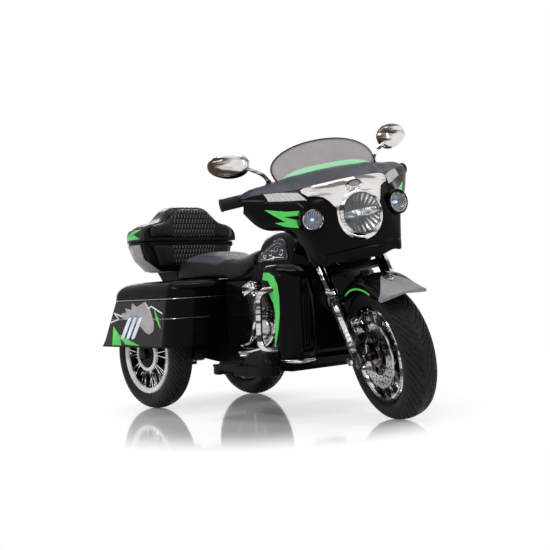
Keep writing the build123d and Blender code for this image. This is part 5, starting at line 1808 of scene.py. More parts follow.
@dataclass
class Screen:
    """Tinted screen: an upright arch curved in plan, with a darker rim."""

    half: float = 132.0
    foot: float = 574.0
    waist: float = 602.0
    rise: float = 57.0
    thick: float = 3.5
    body: Body = Body.STEERING

    def surface(self, share: Arr, height: Arr) -> Arr:
        """Points at shares across (-1 to 1) and heights: x falls off at the sides and upward.

        The half width shrinks with the square of the depth below the waist.
        """
        x = 605 - 18 * np.abs(share) ** 2.2 - 0.47 * (height - 570)
        wide = self.half * (1 - 0.17 * (np.maximum(self.waist - height, 0) / 46) ** 2)
        return np.stack([x, wide * share, height + 0 * share], -1)

    def top(self, share: Arr) -> Arr:
        """Height of the arch's edge."""
        return self.waist + self.rise * np.maximum(1 - np.abs(share) ** 2.15, 0) ** 0.5

    def build(self) -> None:
        """Makes the pane and its rim."""
        s = np.sin(np.linspace(-1, 1, 91) * np.pi / 2) * 0.999
        t = np.linspace(0, 1, 31)
        high = self.top(s)
        low = 556 + 0 * s
        z = low[:, None] + (high - low)[:, None] * t[None]
        front = self.surface(s[:, None], z)
        back = front - normals(front) * self.thick * np.sign(normals(front)[45, 15, 0])
        pane = two_sided(front, back)
        height = (pane.verts[:, 2] - self.foot) * 0.01
        pane.uv = np.stack([(pane.verts[:, 1] / self.half + 1) / 2, height], -1)
        add("screen_pane", pane, self.body, SCREEN, "smoked", ("windshield",), sharp=50)
        side = self.waist - 34 * np.linspace(1, 0.04, 14)
        first, last = (self.surface(np.array(k), side) for k in (-0.999, 0.999))
        edge = np.vstack([first, self.surface(s, high), last[::-1]])
        edge = edge - np.array([self.thick / 2, 0, 0])
        section = squarish(2.9, 1.5, 3, 12)
        add("screen_rim", sweep(edge, section, (1, 0, 0.01)), self.body, SATIN_BLACK, "black_satin")
        spots = [self.surface(np.array(k), np.array(568.0)) for k in (-0.62, 0.62)]
        screws = [straight(spot - np.array(AHEAD), spot + np.array([2.4, 0, 0.6]), 4.2, 20)
                  for spot in spots]
        add("screen_screws", join(screws), self.body, SATIN_BLACK, "black_satin")


@dataclass
class Bars:
    """Grips, mirrors and the mirror stems."""

    body: Body = Body.STEERING

    def build(self) -> None:
        """Makes one set for each side."""
        add_sides(self.body, (
            ("grip_{}_sleeve", self.grip(), GRIP_RUBBER, "black_grip", "grip_{}"),
            ("mirror_{}_shell", self.head(), MIRROR_CHROME, "chrome", "mirror_{}"),
            ("mirror_{}_glass", self.glass(), MIRROR_GLASS, "chrome"),
            ("mirror_{}_stem", self.stem(), CHROME, "chrome"),
            ("mirror_{}_clamp", self.clamp(), SATIN_BLACK, "black_satin")))

    @staticmethod
    def grip() -> Shape:
        """Sleeve with round ridges along its length and a flange at both ends."""
        start, end = np.array([500.0, -250, 553]), np.array([516.0, -168, 556])
        run = np.linalg.norm(end - start)
        axis = (end - start) / run
        along = np.linspace(0, run, 170)
        radius = 14.2 + 0.9 * np.abs(np.sin(along * np.pi / 5.2))
        radius = np.where(along < 5, 16.0 - 2.4 * (1 - along / 5) ** 2, radius)
        radius = np.where(along > run - 6, 17.6, radius)
        return lathe([(0.2, 0), *zip(radius, along), (0.2, run)], start, axis, 40)

    @staticmethod
    def place(shape: Shape) -> Shape:
        """A mirror part moved from its own frame to the right-hand stem's top."""
        shape = shape.turned(-11, AHEAD).turned(-20, UP).turned(-8, LEFTWARD)
        return shape.moved(LAYOUT.wheelbase - 199, -217, 640)

    @staticmethod
    def mirror_outline(share: float, power: float) -> Arr:
        """Oval of a mirror, fuller inboard and drawn out at its outer end."""
        ring = squarish(50 * share, 31 * share, power, 72)
        outer = np.clip(-ring[:, 0] / 50, 0, 1)
        return np.stack([ring[:, 0], ring[:, 1] * (1 - 0.2 * outer)], -1)

    def head(self) -> Shape:
        """Mirror back: superellipse rings shrinking forward with a rounded rim behind."""
        rings = []
        for x, share, power in ((-1, 0.9, 2.35), (-2.5, 0.94, 2.35), (-2.2, 0.985, 2.35),
                                (0, 1.0, 2.35), (6, 0.985, 2.35), (13, 0.89, 2.3),
                                (18.5, 0.72, 2.2), (22, 0.48, 2.1), (23.4, 0.22, 2.0)):
            rings.append(at_station(x, self.mirror_outline(share, power)))
        return self.place(rings_loft(rings))

    def glass(self) -> Shape:
        """Mirror glass just inside the rim."""
        outline = self.mirror_outline(0.93, 2.35)
        return self.place(plate(outline, 2.0, (-2.4, 0, 0), LEFTWARD, UP, 0.5))

    @staticmethod
    def stem() -> Shape:
        """Bent plated stem from the bar clamp to the mirror."""
        return tube([(557, -139, 576), (556.5, -141, 588), (555, -149, 602), (551, -166, 615),
                     (546, -183, 626), (540, -198, 635)], [4.9, 4.6, 4.4, 4.4, 5.0], 48, 18)

    @staticmethod
    def clamp() -> Shape:
        """Black base of the stem with a lock nut, and a swivel at the mirror."""
        base = straight((557.4, -138, 569), (557, -139, 583), 9.5, 28)
        nut = straight((557, -139, 583), (556.7, -140, 588), 7.2, 6)
        ball = lathe([(0.2, -8), (5, -7), (7.5, -3), (7.8, 1), (6, 6), (0.2, 8)],
                     (540, -200, 636), (-0.3, -0.6, 0.7), 28)
        return base + nut + ball


# ------------------------------------------------------------------ outlines on the chassis
def rounded(points: Points, radius: float, n: int = 120) -> Arr:
    """Closed outline with soft corners: even samples, each the mean of its window."""
    p = np.asarray(points, float)
    loop = np.vstack([p, p[:1]])
    run = length_along(loop)
    step = 8
    fine = step * n
    at = np.arange(fine) * run[-1] / fine
    even = np.stack([np.interp(at, run, loop[:, k]) for k in range(p.shape[1])], -1)
    half = max(1, int(radius * 0.8 * fine / run[-1]))
    weights = np.ones(2 * half + 1) / (2 * half + 1)
    wrapped = np.vstack([even[-half:], even, even[:half]])
    soft = np.stack([np.convolve(column, weights, "valid") for column in wrapped.T], -1)
    return soft[::step]


def side_patch(first: Points, second: Points, out: Callable[[Arr, Arr], Arr], lift: float,
               thick: float = 1.2, n: int = 60, m: int = 7) -> Shape:
    """Film on the right-hand side between two lines of (x, z), on the surface |y| = out(x, z)."""
    x, z = between(first, second, n, m)
    y = out(x, z)
    return two_sided(on_side(x, y + lift, z), on_side(x, y + lift - thick, z))


def smoothstep(x: Union[Arr, Number], low: float, high: float) -> Arr:
    """Rise from 0 at low to 1 at high, 3t^2 - 2t^3."""
    t = np.clip((x - low) / (high - low), 0, 1)
    return t * t * (3 - 2 * t)


# ------------------------------------------------------------------ tank, shields, boards
@dataclass
class Tank:
    """Tank between the seat and the neck with a raised side badge panel, bare of words."""

    half: float = 75.5
    low: float = 356.0
    power: float = 2.7
    ridge: tuple = ((331, 376), (338, 418), (352, 441), (372, 453.5), (415, 455.5), (462, 448),
                    (496, 427), (524, 394))
    body: Body = Body.CHASSIS

    def top(self, x: Arr) -> Arr:
        """Height of the ridge."""
        p = np.array(self.ridge, float)
        return np.interp(x, p[:, 0], p[:, 1])

    def wide(self, x: Arr) -> Arr:
        """Half width, narrowing at both ends."""
        return self.half - 18 * (1 - smoothstep(x, 329, 362)) - 20 * smoothstep(x, 478, 526)

    def out(self, x: Arr, z: Arr) -> Arr:
        """Half width at a height: the superellipse (y/b)^p + (h/t)^p = 1."""
        h = np.clip((z - self.low) / (self.top(x) - self.low), 0, 0.999)
        return self.wide(x) * (1 - h ** self.power) ** (1 / self.power)

    def build(self) -> None:
        """Makes the shell, the filler cap, the panels and their scrolls."""
        t = np.linspace(0, np.pi, 61)
        y = np.sign(np.cos(t)) * np.abs(np.cos(t)) ** (2 / self.power)
        rise = np.abs(np.sin(t)) ** (2 / self.power)
        sections = [at_station(x, np.stack([self.wide(np.array(x)) * y,
                                            self.low + (top - self.low) * rise], -1))
                    for x, top in spline(self.ridge, 60)]
        add("tank_shell", rings_loft(sections), self.body, GLOSS_BLACK, "black_gloss",
            ("tank_cover",), sharp=48)
        cap = lathe([(0.2, -8), (22, -8), (22.5, 1.5), (21, 3.2), (16, 4.4), (0.2, 5.4)],
                    (418, 0, 454), (0.03, 0, 1), 56)
        add("tank_filler_cap", cap, self.body, CHROME, "chrome")
        add_sides(self.body, (
            ("tank_{}_panel", self.panel(), CHARCOAL_AND_BROW_HIGHLIGHT, "black_satin"),
            ("tank_{}_panel_rim", self.rim(), DARK_CHROME, "dark_steel"),
            ("tank_{}_scroll", self.scroll(), WARM_CHROME, "chrome")))

    @staticmethod
    def outline() -> Arr:
        """Fin-shaped panel outline as (x, z)."""
        return rounded([(352, 378), (352, 386), (377, 404), (412, 430), (440, 428), (458, 410),
                        (468, 386), (466, 377)], 9, 96)

    def raised(self, p: Arr, lift: float) -> Arr:
        """Places (x, z) laid over the right-hand side, raised by lift."""
        x, z = p.T
        return on_side(x, self.out(x, z) + lift, z)

    def panel(self) -> Shape:
        """Panel over the side: rings of the outline shrinking to its middle."""
        edge = self.outline()
        middle = edge.mean(0)
        rings = ((1, -1.5), (1, 0.9), (0.97, 1.7), (0.75, 1.9), (0.5, 1.9), (0.25, 1.9), (0.03, 1.9))
        return rings_loft([self.raised(middle + (edge - middle) * share, lift)
                           for share, lift in rings])

    def rim(self) -> Shape:
        """Thin bead round the panel."""
        path = self.raised(self.outline(), 1.2)
        return sweep(np.vstack([path, path[:1]]), circle(1.5, 10), (0, 1, 0.02))

    def scroll(self) -> Shape:
        """Loose plated curls: spirals of shrinking radius and two long strokes, no letters."""
        strokes = []
        t = np.linspace(0, 1, 26)
        for cx, cz, r, start, turns in ((384, 390, 7.5, 0.4, 1.35), (404, 396, 9, 2.6, -1.3),
                                        (425, 404, 10, 0.2, 1.3), (444, 395, 8.5, 2.2, -1.35),
                                        (414, 384, 5.5, 3.6, 1.2)):
            radius = r * (1 - 0.72 * t)
            angle = start + TAU * turns * t
            strokes.append(np.stack([cx + radius * np.cos(angle), cz + radius * np.sin(angle)], -1))
        strokes += [[(366, 384), (392, 381), (420, 385), (456, 383)],
                    [(376, 397), (398, 410), (424, 420), (446, 411)]]
        n = 44
        wide = 0.45 + 1.05 * np.sin(np.linspace(0.05, np.pi - 0.05, n))
        return join(sweep(self.raised(spline(stroke, n), 2.4), circle(1.0, 8), (0, 1, 0.02), wide)
                    for stroke in strokes)


@dataclass
class LegShield:
    """Deep leg shield in front of the engine, with a green sickle on its outer face."""

    out: float = 160.0
    inner: float = 72.6
    swing: float = 104.5
    low: float = 143.0
    high: float = 364.5
    body: Body = Body.CHASSIS

    def ring(self, z: float, shrink: float = 0.0) -> Arr:
        """Plan of the shield at a height, its front inner corner cut to the fork's swing."""
        rear = 461.5 + 43 * smoothstep(300 - z, 0, 66)
        front = 555 - 26 * smoothstep(z, 338, 366) - 9 * smoothstep(170 - z, 0, 26)
        out = -self.out + 6 * smoothstep(z, 330, 364)
        s = shrink
        x, y = rounded([(rear + s, -self.inner - s), (rear + s, out + 5 + s),
                        (rear + 9 + s, out + s), (front - 26, out + s),
                        (front - 12 - s, out + 15 + s), (front - s, out + 44),
                        (front - 4 - s, -self.inner - s)], 7).T
        rake = math.radians(LAYOUT.rake)
        axis = LAYOUT.steer_foot[0] - (z - LAYOUT.steer_foot[2]) * math.tan(rake)
        reach = np.sqrt(np.maximum(self.swing ** 2 - y ** 2, 0)) / math.cos(rake)
        limit = np.where(np.abs(y) < self.swing, axis - reach, np.inf)
        return at_height(z, np.stack([np.minimum(x, limit), y], -1))

    def build(self) -> None:
        """Makes each side's shield, film, slats and lower strip."""
        heights = [(self.low, 9), (self.low + 1.2, 4), (self.low + 4, 1), (self.low + 8, 0)]
        heights += [(z, 0) for z in np.linspace(self.low + 20, self.high - 16, 26)]
        heights += [(self.high - 9, 0), (self.high - 4.5, 1.4), (self.high - 1.5, 4.2),
                    (self.high, 9), (self.high + 0.6, 20)]
        whole = rings_loft([self.ring(z, shrink) for z, shrink in heights])
        add_sides(self.body, (
            ("shield_{}_shell", whole, GLOSS_BLACK, "black_gloss", "leg_shield_{}"),), sharp=40)
        add_sides(self.body, (
            ("shield_{}_sickle_edge", self.sickle(2.0, 0.35), FILM_DARK, "black_gloss"),
            ("shield_{}_sickle", self.sickle(0.0, 0.75), GREEN, "black_gloss"),
            ("shield_{}_strip", self.strip(), CHROME, "chrome"),
            ("shield_{}_vents", self.vents(), SATIN_BLACK, "black_satin")))

    def sickle(self, grow: float, lift: float) -> Shape:
        """Hooked film, wide at the top and drawn to a point low down."""
        front = np.array([(470, 348), (492, 347), (512, 338), (524, 318), (528, 290), (527, 250),
                          (520, 215), (512, 190), (505, 170)], float)
        rear = np.array([(470, 331), (490, 328), (499, 316), (490, 303), (496, 291), (507, 274),
                         (511, 250), (508, 212), (504, 172)], float)
        front, rear = front + [grow * 0.7, grow * 0.7], rear - [grow * 0.7, grow * 0.6]

        def out(x: Arr, z: Arr) -> Arr:
            """Half width of the outer face, less at the lip and round the rear corner."""
            return self.out - 6 * smoothstep(z, 330, 364) - 4.0 * (1 - smoothstep(x, 464, 474))

        return side_patch(front, rear, out, lift, 1.6, 90, 9)

    @staticmethod
    def strip() -> Shape:
        """Bright strip under the shield's front with a small tail inward."""
        return tube([(548, -78, 139), (546, -112, 138), (534, -142, 139), (512, -152, 141)],
                    [3.4, 5.5, 5.0, 3], 40, 14)

    @staticmethod
    def vents() -> Shape:
        """Three upright slats on the shield's inner front."""
        return join(block((549.5, -98 - 7.5 * k, 178), (556.5, -94.5 - 7.5 * k, 300 - 4 * k),
                          1.2, 6, 24) for k in range(3))


@dataclass
class Engine:
    """Dummy V engine: finned barrels, rocker covers, push-rod tubes, round cover and pipes."""

    crank: tuple[float, float] = (412.0, 212.0)
    foot_z: float = 214.0
    banks: tuple = ((418, 17), (404, -21))
    body: Body = Body.CHASSIS

    def build(self) -> None:
        """Makes both sides' engine halves, guards and pipes."""
        add_sides(self.body, (
            ("engine_{}_cases", self.cases(), STEEL, "chrome", "engine_{}"),
            ("engine_{}_barrels", self.both(self.barrel), DARK_CHROME, "dark_steel"),
            ("engine_{}_covers", self.covers(), CHROME, "chrome"),
            ("engine_{}_pipes", self.pipes(), CHROME, "chrome"),
            ("guard_{}_tube", self.guard(), CHROME, "chrome", "crash_bar_{}")))

    def both(self, upright: Callable[[], Shape]) -> Shape:
        """A part of one barrel's line, leant and placed at both banks of the V."""
        return join(upright().turned(lean, LEFTWARD).moved(foot, 0, self.foot_z)
                    for foot, lean in self.banks)

    def cases(self) -> Shape:
        """Crankcase, gear cover behind it, screws and a ribbed foot."""
        x, z = self.crank
        crank = lathe([(0.3, -2), (33, -2), (34, 0), (34, 38), (31.5, 41.5), (26, 43), (25.5, 49),
                       (23, 51.6), (10, 52.4), (8.5, 51), (0.3, 51)], (x, -70, z), RIGHTWARD)
        gear = lathe([(0.3, -2), (25, -2), (26, 0), (26, 28), (23, 31.5), (8, 33), (0.3, 33.4)],
                     (x - 40, -70, z - 8), RIGHTWARD, 72)
        sump = block((x - 48, -106, z - 46), (x + 30, -70, z - 22), 3, 7)
        screws = [straight((sx, -110, sz), (sx, -114, sz), 2.6, 6)
                  for sx, sz in ring_about(self.crank, [29.4] * 8, np.arange(8) * 45 + math.degrees(0.2))]
        return join([crank, gear, sump, *screws])

    @staticmethod
    def barrel() -> Shape:
        """One finned barrel, upright: square plates stacked round a core."""
        fins = [level_plate(squarish(23.5 - 0.25 * abs(k - 4), 26, 6), 3.0, 26 + 7.4 * k, y=-96)
                for k in range(9)]
        return join([level_plate(squarish(17, 20, 6), 76, 18, 2, y=-96), *fins])

    @staticmethod
    def cover() -> Shape:
        """Rocker cover, upright: rounded blocks in two steps with ribs and four nuts."""
        low = level_plate(squarish(27, 30, 5, 56), 10, 92, 2.6, y=-98)
        top = level_plate(squarish(23, 26, 3.6, 56), 14, 101, 4, y=-98)
        ribs = [block((x - 2, -126, 104), (x + 2, -70, 118.5), 1.2, 5, 24)
                for x in (-16, -8, 0, 8, 16)]
        nuts = [straight((x, y, 101), (x, y, 106), 2.8, 6) for x in (-22, 22) for y in (-122, -74)]
        return join([low, top, *ribs, *nuts])

    def covers(self) -> Shape:
        """Both rocker covers, the round air cleaner between them and four push-rod tubes."""
        rods = []
        for foot, top in (((404, -115, 236), (379, -117, 304)), ((411, -116, 238), (394, -118, 306)),
                          ((418, -116, 238), (430, -118, 306)), ((425, -115, 236), (444, -117, 302))):
            a, b = np.array(foot, float), np.array(top, float)
            rods += [straight(a, b, 4.2, 18), straight(a, a + (b - a) * 0.12, 5.8, 18),
                     straight(b - (b - a) * 0.1, b, 5.8, 18)]
        cleaner = lathe([(0.3, 0), (23, 0), (24, 2), (24, 8), (21.5, 11), (17, 11.6), (15.5, 9.8),
                         (0.3, 10.4)], (411, -112, 276), RIGHTWARD, 72)
        return join([self.both(self.cover), cleaner, *rods])

    @staticmethod
    def pipes() -> Shape:
        """Two exhaust pipes from the barrels back under the body's side, widening rearward."""
        first = tube([(446, -104, 250), (452, -110, 222), (442, -112, 190), (412, -112, 168),
                      (370, -110, 158), (330, -106, 154), (306, -103, 153)],
                     [5, 5.5, 6, 7, 8.5, 10.5, 11.5], 70, 22)
        second = tube([(376, -106, 244), (370, -112, 214), (362, -112, 190), (344, -108, 178),
                       (322, -104, 174), (306, -100, 173)], [4.5, 5, 5, 5.5, 6.5, 7], 60, 22)
        return first + second

    @staticmethod
    def guard() -> Shape:
        """Bright D-shaped guard standing out from the shield."""
        return tube([(512, -146, 306), (500, -160, 307), (488, -172, 304), (477, -178.5, 292),
                     (473.5, -179, 274), (471.5, -179, 208), (474, -178.5, 184), (484, -174, 168),
                     (498, -162, 165), (512, -148, 166)], 7.6, 110, 22, (0, 1, 0.05))


@dataclass
class Boards:
    """Foot boards with ribbed treads, the pedal, and covers on the body's sides."""

    body: Body = Body.CHASSIS

    def build(self) -> None:
        """Makes both sides, and the pedal on the right."""
        add_sides(self.body, (
            ("board_{}_tray", self.tray(), SATIN_BLACK, "black_satin", "foot_board_{}"),
            ("board_{}_tread", self.tread(), SOFT_BLACK, "black_satin"),
            ("body_{}_cover", self.cover(), GLOSS_BLACK, "black_gloss"),
            ("body_{}_seam", self.seam(), SATIN_BLACK, "black_satin")))
        add("pedal_rocker", self.pedal(), self.body, CHROME, "chrome", ("foot_pedal",))

    @staticmethod
    def tray() -> Shape:
        """Board thicker under heel and sole, with a lip outside and a domed toe guard."""
        deck = level_plate(rounded([(310, -200), (310, -124), (470, -124), (524, -164), (524, -196),
                                    (508, -210), (328, -210)], 9, 140), 13, 118, 2.4)
        heel = level_plate(rounded([(310, -200), (310, -124), (338, -124), (346, -210),
                                    (328, -210)], 6, 96), 14, 107, 2.4)
        sole = level_plate(rounded([(404, -210), (398, -124), (470, -124), (524, -164),
                                    (524, -196), (508, -210)], 6, 96), 14, 107, 2.4)
        toe = rounded([(424, -196), (424, -129), (468, -129), (518, -166), (518, -192),
                       (506, -200)], 8, 96)
        middle = toe.mean(axis=0)
        dome = rings_loft([at_height(z, middle + (toe - middle) * size)
                           for z, size in ((129, 1.0), (136, 0.99), (143, 0.95), (152, 0.84),
                                           (160, 0.66), (164, 0.46))])
        lip = tube([(318, -204, 129), (360, -207.5, 131), (410, -207.5, 131.5), (428, -205, 134)],
                   3.0, 60, 12)
        return join([deck, heel, sole, dome, lip])

    @staticmethod
    def tread() -> Shape:
        """Rubber mat of raised cross bars."""
        mat = level_plate(rounded([(322, -194), (322, -136), (420, -136), (420, -194)], 7, 96),
                          3.2, 130.5, 1)
        bars = [block((329 + 11.5 * k, -190, 133), (334 + 11.5 * k, -140, 136.2), 1.1, 7, 28)
                for k in range(8)]
        return join([mat, *bars])

    @staticmethod
    def cover() -> Shape:
        """Raised cover on the body's side between pannier and engine."""
        outline = rounded([(214, 182), (214, 333), (300, 333), (352, 318), (352, 206), (322, 182)], 14)
        return plate(outline, 6, (0, -69.5, 0), AHEAD, UP, 2.6)

    @staticmethod
    def seam() -> Shape:
        """Thin step across the cover and a cable gland below it."""
        strip = block((222, -78.2, 244), (346, -74.8, 247), 1.0, 6, 28)
        return strip + straight((300, -70, 168), (300, -82, 168), 8, 24)

    @staticmethod
    def pedal() -> Shape:
        """Bright pedal: a bent arm and a toe plate."""
        arm = tube([(452, -118, 128), (451, -120, 138), (446, -132, 149), (432, -148, 153),
                    (408, -166, 150)], [4, 4.2, 4.2, 4.2, 4], 44, 16)
        return arm + level_plate(squarish(11, 15, 4, 48), 5, 147, 2, 411, -166)


# ------------------------------------------------------------------ seat and trunk
@dataclass
class Seat:
    """Saddle: a skirted cushion, low at the middle and rising to the tank, with a painted highlight on top.
    """

    widths: tuple = ((-10, 0, 24, 60, 150, 200, 250, 317), (74, 82, 87, 88, 86, 77, 70, 60))
    skirt: float = 348.0
    power_across: float = 3.4
    power_up: float = 2.5
    fill: float = 0.85
    body: Body = Body.CHASSIS

    def build(self) -> None:
        """Makes the cushion, the piping round its top panel and the base under its nose."""
        rings = []
        top = spline([(-10, 348), (-8.5, 382), (-1, 399), (28, 410), (90, 416), (150, 412),
                      (200, 399), (262, 400), (300, 409), (317, 414)], 58)
        t = np.linspace(0, np.pi, 65)
        share = np.sign(np.cos(t)) * np.abs(np.cos(t)) ** (2 / self.power_across)
        for x, z in top:
            width = np.interp(x, *self.widths)
            foot = np.interp(x, [-10, 206, 216, 226, 270, 317],
                             [self.skirt, self.skirt, 342, 338, 343, 374])
            foot = min(foot, z - 2)
            y = width * share
            rise = foot + (z - foot) * np.abs(np.sin(t)) ** (2 / self.power_up)
            dip = -1.6 * np.exp(-((np.abs(y) - 0.62 * width) / 3.0) ** 2) * (40 < x < 205)
            rings.append(at_station(x, np.stack([y, rise + dip], -1)))
        piece = add("seat_cushion", rings_loft(rings), self.body, SEAT_VINYL, "black_vinyl",
                    ("seat",), sharp=60)
        puff(piece, VOXEL, 3.0)
        add("seat_piping", self.piping(top), self.body, PIPING, "black_vinyl")
        add("seat_nose_base", self.nose_base(), self.body, GLOSS_BLACK, "black_gloss")

    @staticmethod
    def nose_base() -> Shape:
        """Moulded base under the nose, stepping up at its front to close on the tank."""
        low = 334.0
        rings = []
        for x, z, wide in ((203, 340, 58), (205, 344, 62), (214, 346, 64), (226, 342, 65),
                           (250, 344, 63), (270, 347, 60), (300, 366, 56), (315, 377, 53),
                           (318, 398, 51.5), (320, 402.5, 51), (326, 404, 50.5), (340, 403, 49)):
            half = (z - low) / 2
            rings.append(at_station(x, squarish(wide, half, 5, 56) + [0, low + half]))
        return rings_loft(rings)

    def piping(self, top: Arr) -> Shape:
        """Seam bead round the top panel: an oval laid on the cushion's crown."""
        t = np.linspace(0, TAU, 121)
        x = 108 + 92 * np.sign(np.cos(t)) * np.abs(np.cos(t)) ** 0.8
        y = 66 * np.sign(np.sin(t)) * np.abs(np.sin(t)) ** 0.8
        z = np.interp(x, top[:, 0], top[:, 1])
        width = np.interp(x, *self.widths)
        fall = (1 - (np.abs(y) / width) ** self.power_across) ** (1 / self.power_up)
        path = np.stack([x, y, self.skirt + (z - self.skirt) * fall + 0.9], -1)
        return sweep(path, circle(1.3, 10), (0, 0.02, 1))


@dataclass
class Trunk:
    """Trunk: flared box, hinged lid with a raised back, upholstered pads, side panels and films."""

    rear: float = -172.0
    front: float = -38.0
    foot: float = 373.0
    split: float = 459.0
    wide: float = 162.0
    lid_foot: float = 461.5
    crown: float = 562.0
    wall: float = 3.5
    draw_in: float = 0.16

    def build(self) -> None:
        """Makes the box, the lid, the side dressing and the pads."""
        add("trunk_tub", self.tub(), Body.CHASSIS, SATIN_BLACK, "black_satin", ("trunk_box",))
        add("trunk_lid_shell", self.lid(), Body.LID, TRUNK_BLACK, "black_satin", ("trunk_lid",))
        add("trunk_lid_lip", self.lip(), Body.LID, SATIN_BLACK, "black_satin")
        add_sides(Body.CHASSIS, (
            ("trunk_{}_panel", self.panel(), PANEL_ROSE, "chrome"),
            ("trunk_{}_plate", self.bare_plate(), FILM_GREY, "chrome"),
            ("trunk_{}_latch", self.latch(), SATIN_BLACK, "black_satin")))
        add_sides(Body.LID, (
            ("trunk_{}_film", self.film(), GREEN, "black_gloss"),
            ("trunk_{}_film_field", self.field(), SIDE_BROWN, "black_gloss")))
        self.pads()

    def across(self, z: Arr) -> Arr:
        """Half width of the box at a height: kinked outward to the lid line."""
        return np.interp(z, [self.foot, self.foot + 36, self.split], [106.0, 143.0, self.wide - 3])

    def tub(self) -> Shape:
        """Box walls: a rounded rectangle widening upward, dished inside below its rim."""
        rings = []
        for z, inset in ((375.5, 14), (373.3, 7), (374.5, 2), (378, 0), (403, 0), (430, 0),
                         (451, 0), (453, -1.6), (457.5, -1.6), (458.6, 0), (458.6, 3.5),
                         (454, 4.2), (400, 4.2), (379, 5), (378, 20)):
            half = self.across(z) - inset
            ring = self.round_back(squarish(self.depth(z) - inset, half, 9, 160), half)
            rings.append(at_height(z, ring + [self.middle(z), 0]))
        return rings_loft(rings)

    def lean(self, z: float) -> float:
        """How far the rear wall leans in at a height."""
        return 26 * (1 - (z - self.foot) / (self.split - self.foot))

    def middle(self, z: float) -> float:
        """X of the middle of the box at a height."""
        return (self.rear + self.front + self.lean(z)) / 2

    def depth(self, z: float) -> float:
        """Half length of the box at a height."""
        return (self.front - self.rear - self.lean(z)) / 2

    def round_back(self, ring: Arr, half: float) -> Arr:
        """The ring with its rear corners drawn in by the square of the way to the rear."""
        x, y = ring.T
        rear = np.clip(-x / np.abs(x).max(), 0, 1)
        side = np.clip(np.abs(y) / half, 0, 1)
        return np.stack([x + 8 * rear * side ** 6, y * (1 - self.draw_in * rear ** 2)], -1)

    def pinch(self, x: Arr) -> Arr:
        """Share of the lid's width kept at a station, its rear drawn in."""
        return 0.985 - self.draw_in * np.clip((-105.0 - x) / 67, 0, 1) ** 2

    def section(self, x: float) -> Arr:
        """Upper outline of the lid at a station as (y, z): hips, a slope and the raised middle."""
        base = np.array([(162, 461.5), (162.5, 474), (161, 486), (155, 498), (142, 508),
                         (118, 514), (98, 521), (84, 533), (70, 549), (54, 558.5), (34, 561.6),
                         (0, 562)], float)
        top = np.interp(x, [-172, -168, -152, -126, -100, -60, -48, -40, -38],
                        [470, 488, 520, 549, 561, 562, 558, 550, 545])
        share = (top - self.lid_foot) / (self.crown - self.lid_foot)
        base[:, 1] = self.lid_foot + (base[:, 1] - self.lid_foot) * share
        base[:, 0] *= self.pinch(x)
        return spline(np.vstack([base * [-1, 1], base[-2::-1]]), 97)

    def lid(self) -> Shape:
        """Lid shell: sections along X with a wall inside, open below, and its two ends."""
        xs = np.concatenate([[-171.4], np.linspace(-169, -150, 9), np.linspace(-146, -60, 24),
                             np.linspace(-56, -38.4, 9)])
        sections = np.stack([at_station(x, self.section(x)) for x in xs])
        wall = sections.copy()
        wall[..., 1] *= 1 - self.wall / self.wide
        wall[..., 2] = self.lid_foot + (wall[..., 2] - self.lid_foot) * 0.965
        wall[:1, :, 0] += 4
        wall[-1:, :, 0] -= 4
        hoop = grid(np.concatenate([sections, wall[:, ::-1]], axis=1), wrap_v=True)
        return join([hoop, self.end_cap(sections[0], 1), self.end_cap(sections[-1], -1)])

    def end_cap(self, edge: Arr, inward: int) -> Shape:
        """Flat end of the lid, from the outline down to its foot line."""
        low = edge.copy()
        low[:, 2] = self.lid_foot
        t = np.linspace(0, 1, 12)[None, :, None]
        face = edge[:, None] * (1 - t) + low[:, None] * t
        return two_sided(face, face + np.array([self.wall * inward, 0, 0]))

    def lip(self) -> Shape:
        """Thin flange round the lid's foot."""
        half_x, half_y = (self.front - self.rear) / 2, self.wide
        outline = self.round_back(squarish(half_x + 2.0, half_y + 1.2, 9, 120), half_y)
        inner = self.round_back(squarish(half_x - 5, half_y - 7, 9, 120), half_y)
        middle = (self.front + self.rear) / 2
        rings = [at_height(z, p + [middle, 0])
                 for p, z in ((inner, 460.8), (outline * 0.995, 460.8), (outline, 462),
                              (outline, 464), (outline * 0.993, 465.2), (inner, 465.2))]
        return grid(np.stack(rings), wrap_u=True, wrap_v=True)

    def panel(self) -> Shape:
        """Bare silver panel on the box's side, its lower part folded under with the flare."""
        first = [(-162, 452), (-158, 432), (-150, 404), (-139, 376)]
        second = [(-66, 452), (-68, 432), (-70, 412), (-46, 377)]
        return side_patch(first, second, self.side_at, 2.2, 3.2, 40, 15)

    def side_at(self, x: Arr, z: Arr) -> Arr:
        """Half width of the box at a place, its rear drawn in."""
        rear = np.clip((self.middle(z) - x) / self.depth(z), 0, 1)
        return self.across(z) * (1 - self.draw_in * rear ** 2)

    def lid_side(self, x: Arr, z: Arr) -> Arr:
        """Half width of the lid at a place."""
        return np.interp(z, [461, 474, 486, 498], [162, 162.5, 161, 155]) * self.pinch(x)

    def bare_plate(self) -> Shape:
        """Raised bare plate where the panel is widest."""
        first = [(-148, 446), (-146, 436), (-143, 426)]
        second = [(-104, 446), (-105, 436), (-107, 426)]
        return side_patch(first, second, self.side_at, 3.1, 1.4, 20)

    def field(self) -> Shape:
        """Dark glossy field behind the film on the lid's side."""
        first = [(-163, 467), (-158, 480), (-146, 490), (-136, 495)]
        second = [(-50, 467), (-50, 478), (-50, 488), (-50, 495)]
        return side_patch(first, second, self.lid_side, 0.35, 0.9, 24, 21)

    def film(self) -> Shape:
        """Two joined green triangles."""
        return join(side_patch(first, second, self.lid_side, 0.8, 0.8, 40) for first, second in (
            ([(-146, 469), (-96, 495)], [(-144, 468), (-58, 495)]),
            ([(-142, 469), (-94, 482)], [(-141, 468), (-60, 468)])))

    @staticmethod
    def latch() -> Shape:
        """Small round stop at the front corner of the box."""
        return straight((-40, -136, 449), (-29, -136, 449), 6.5, 24)

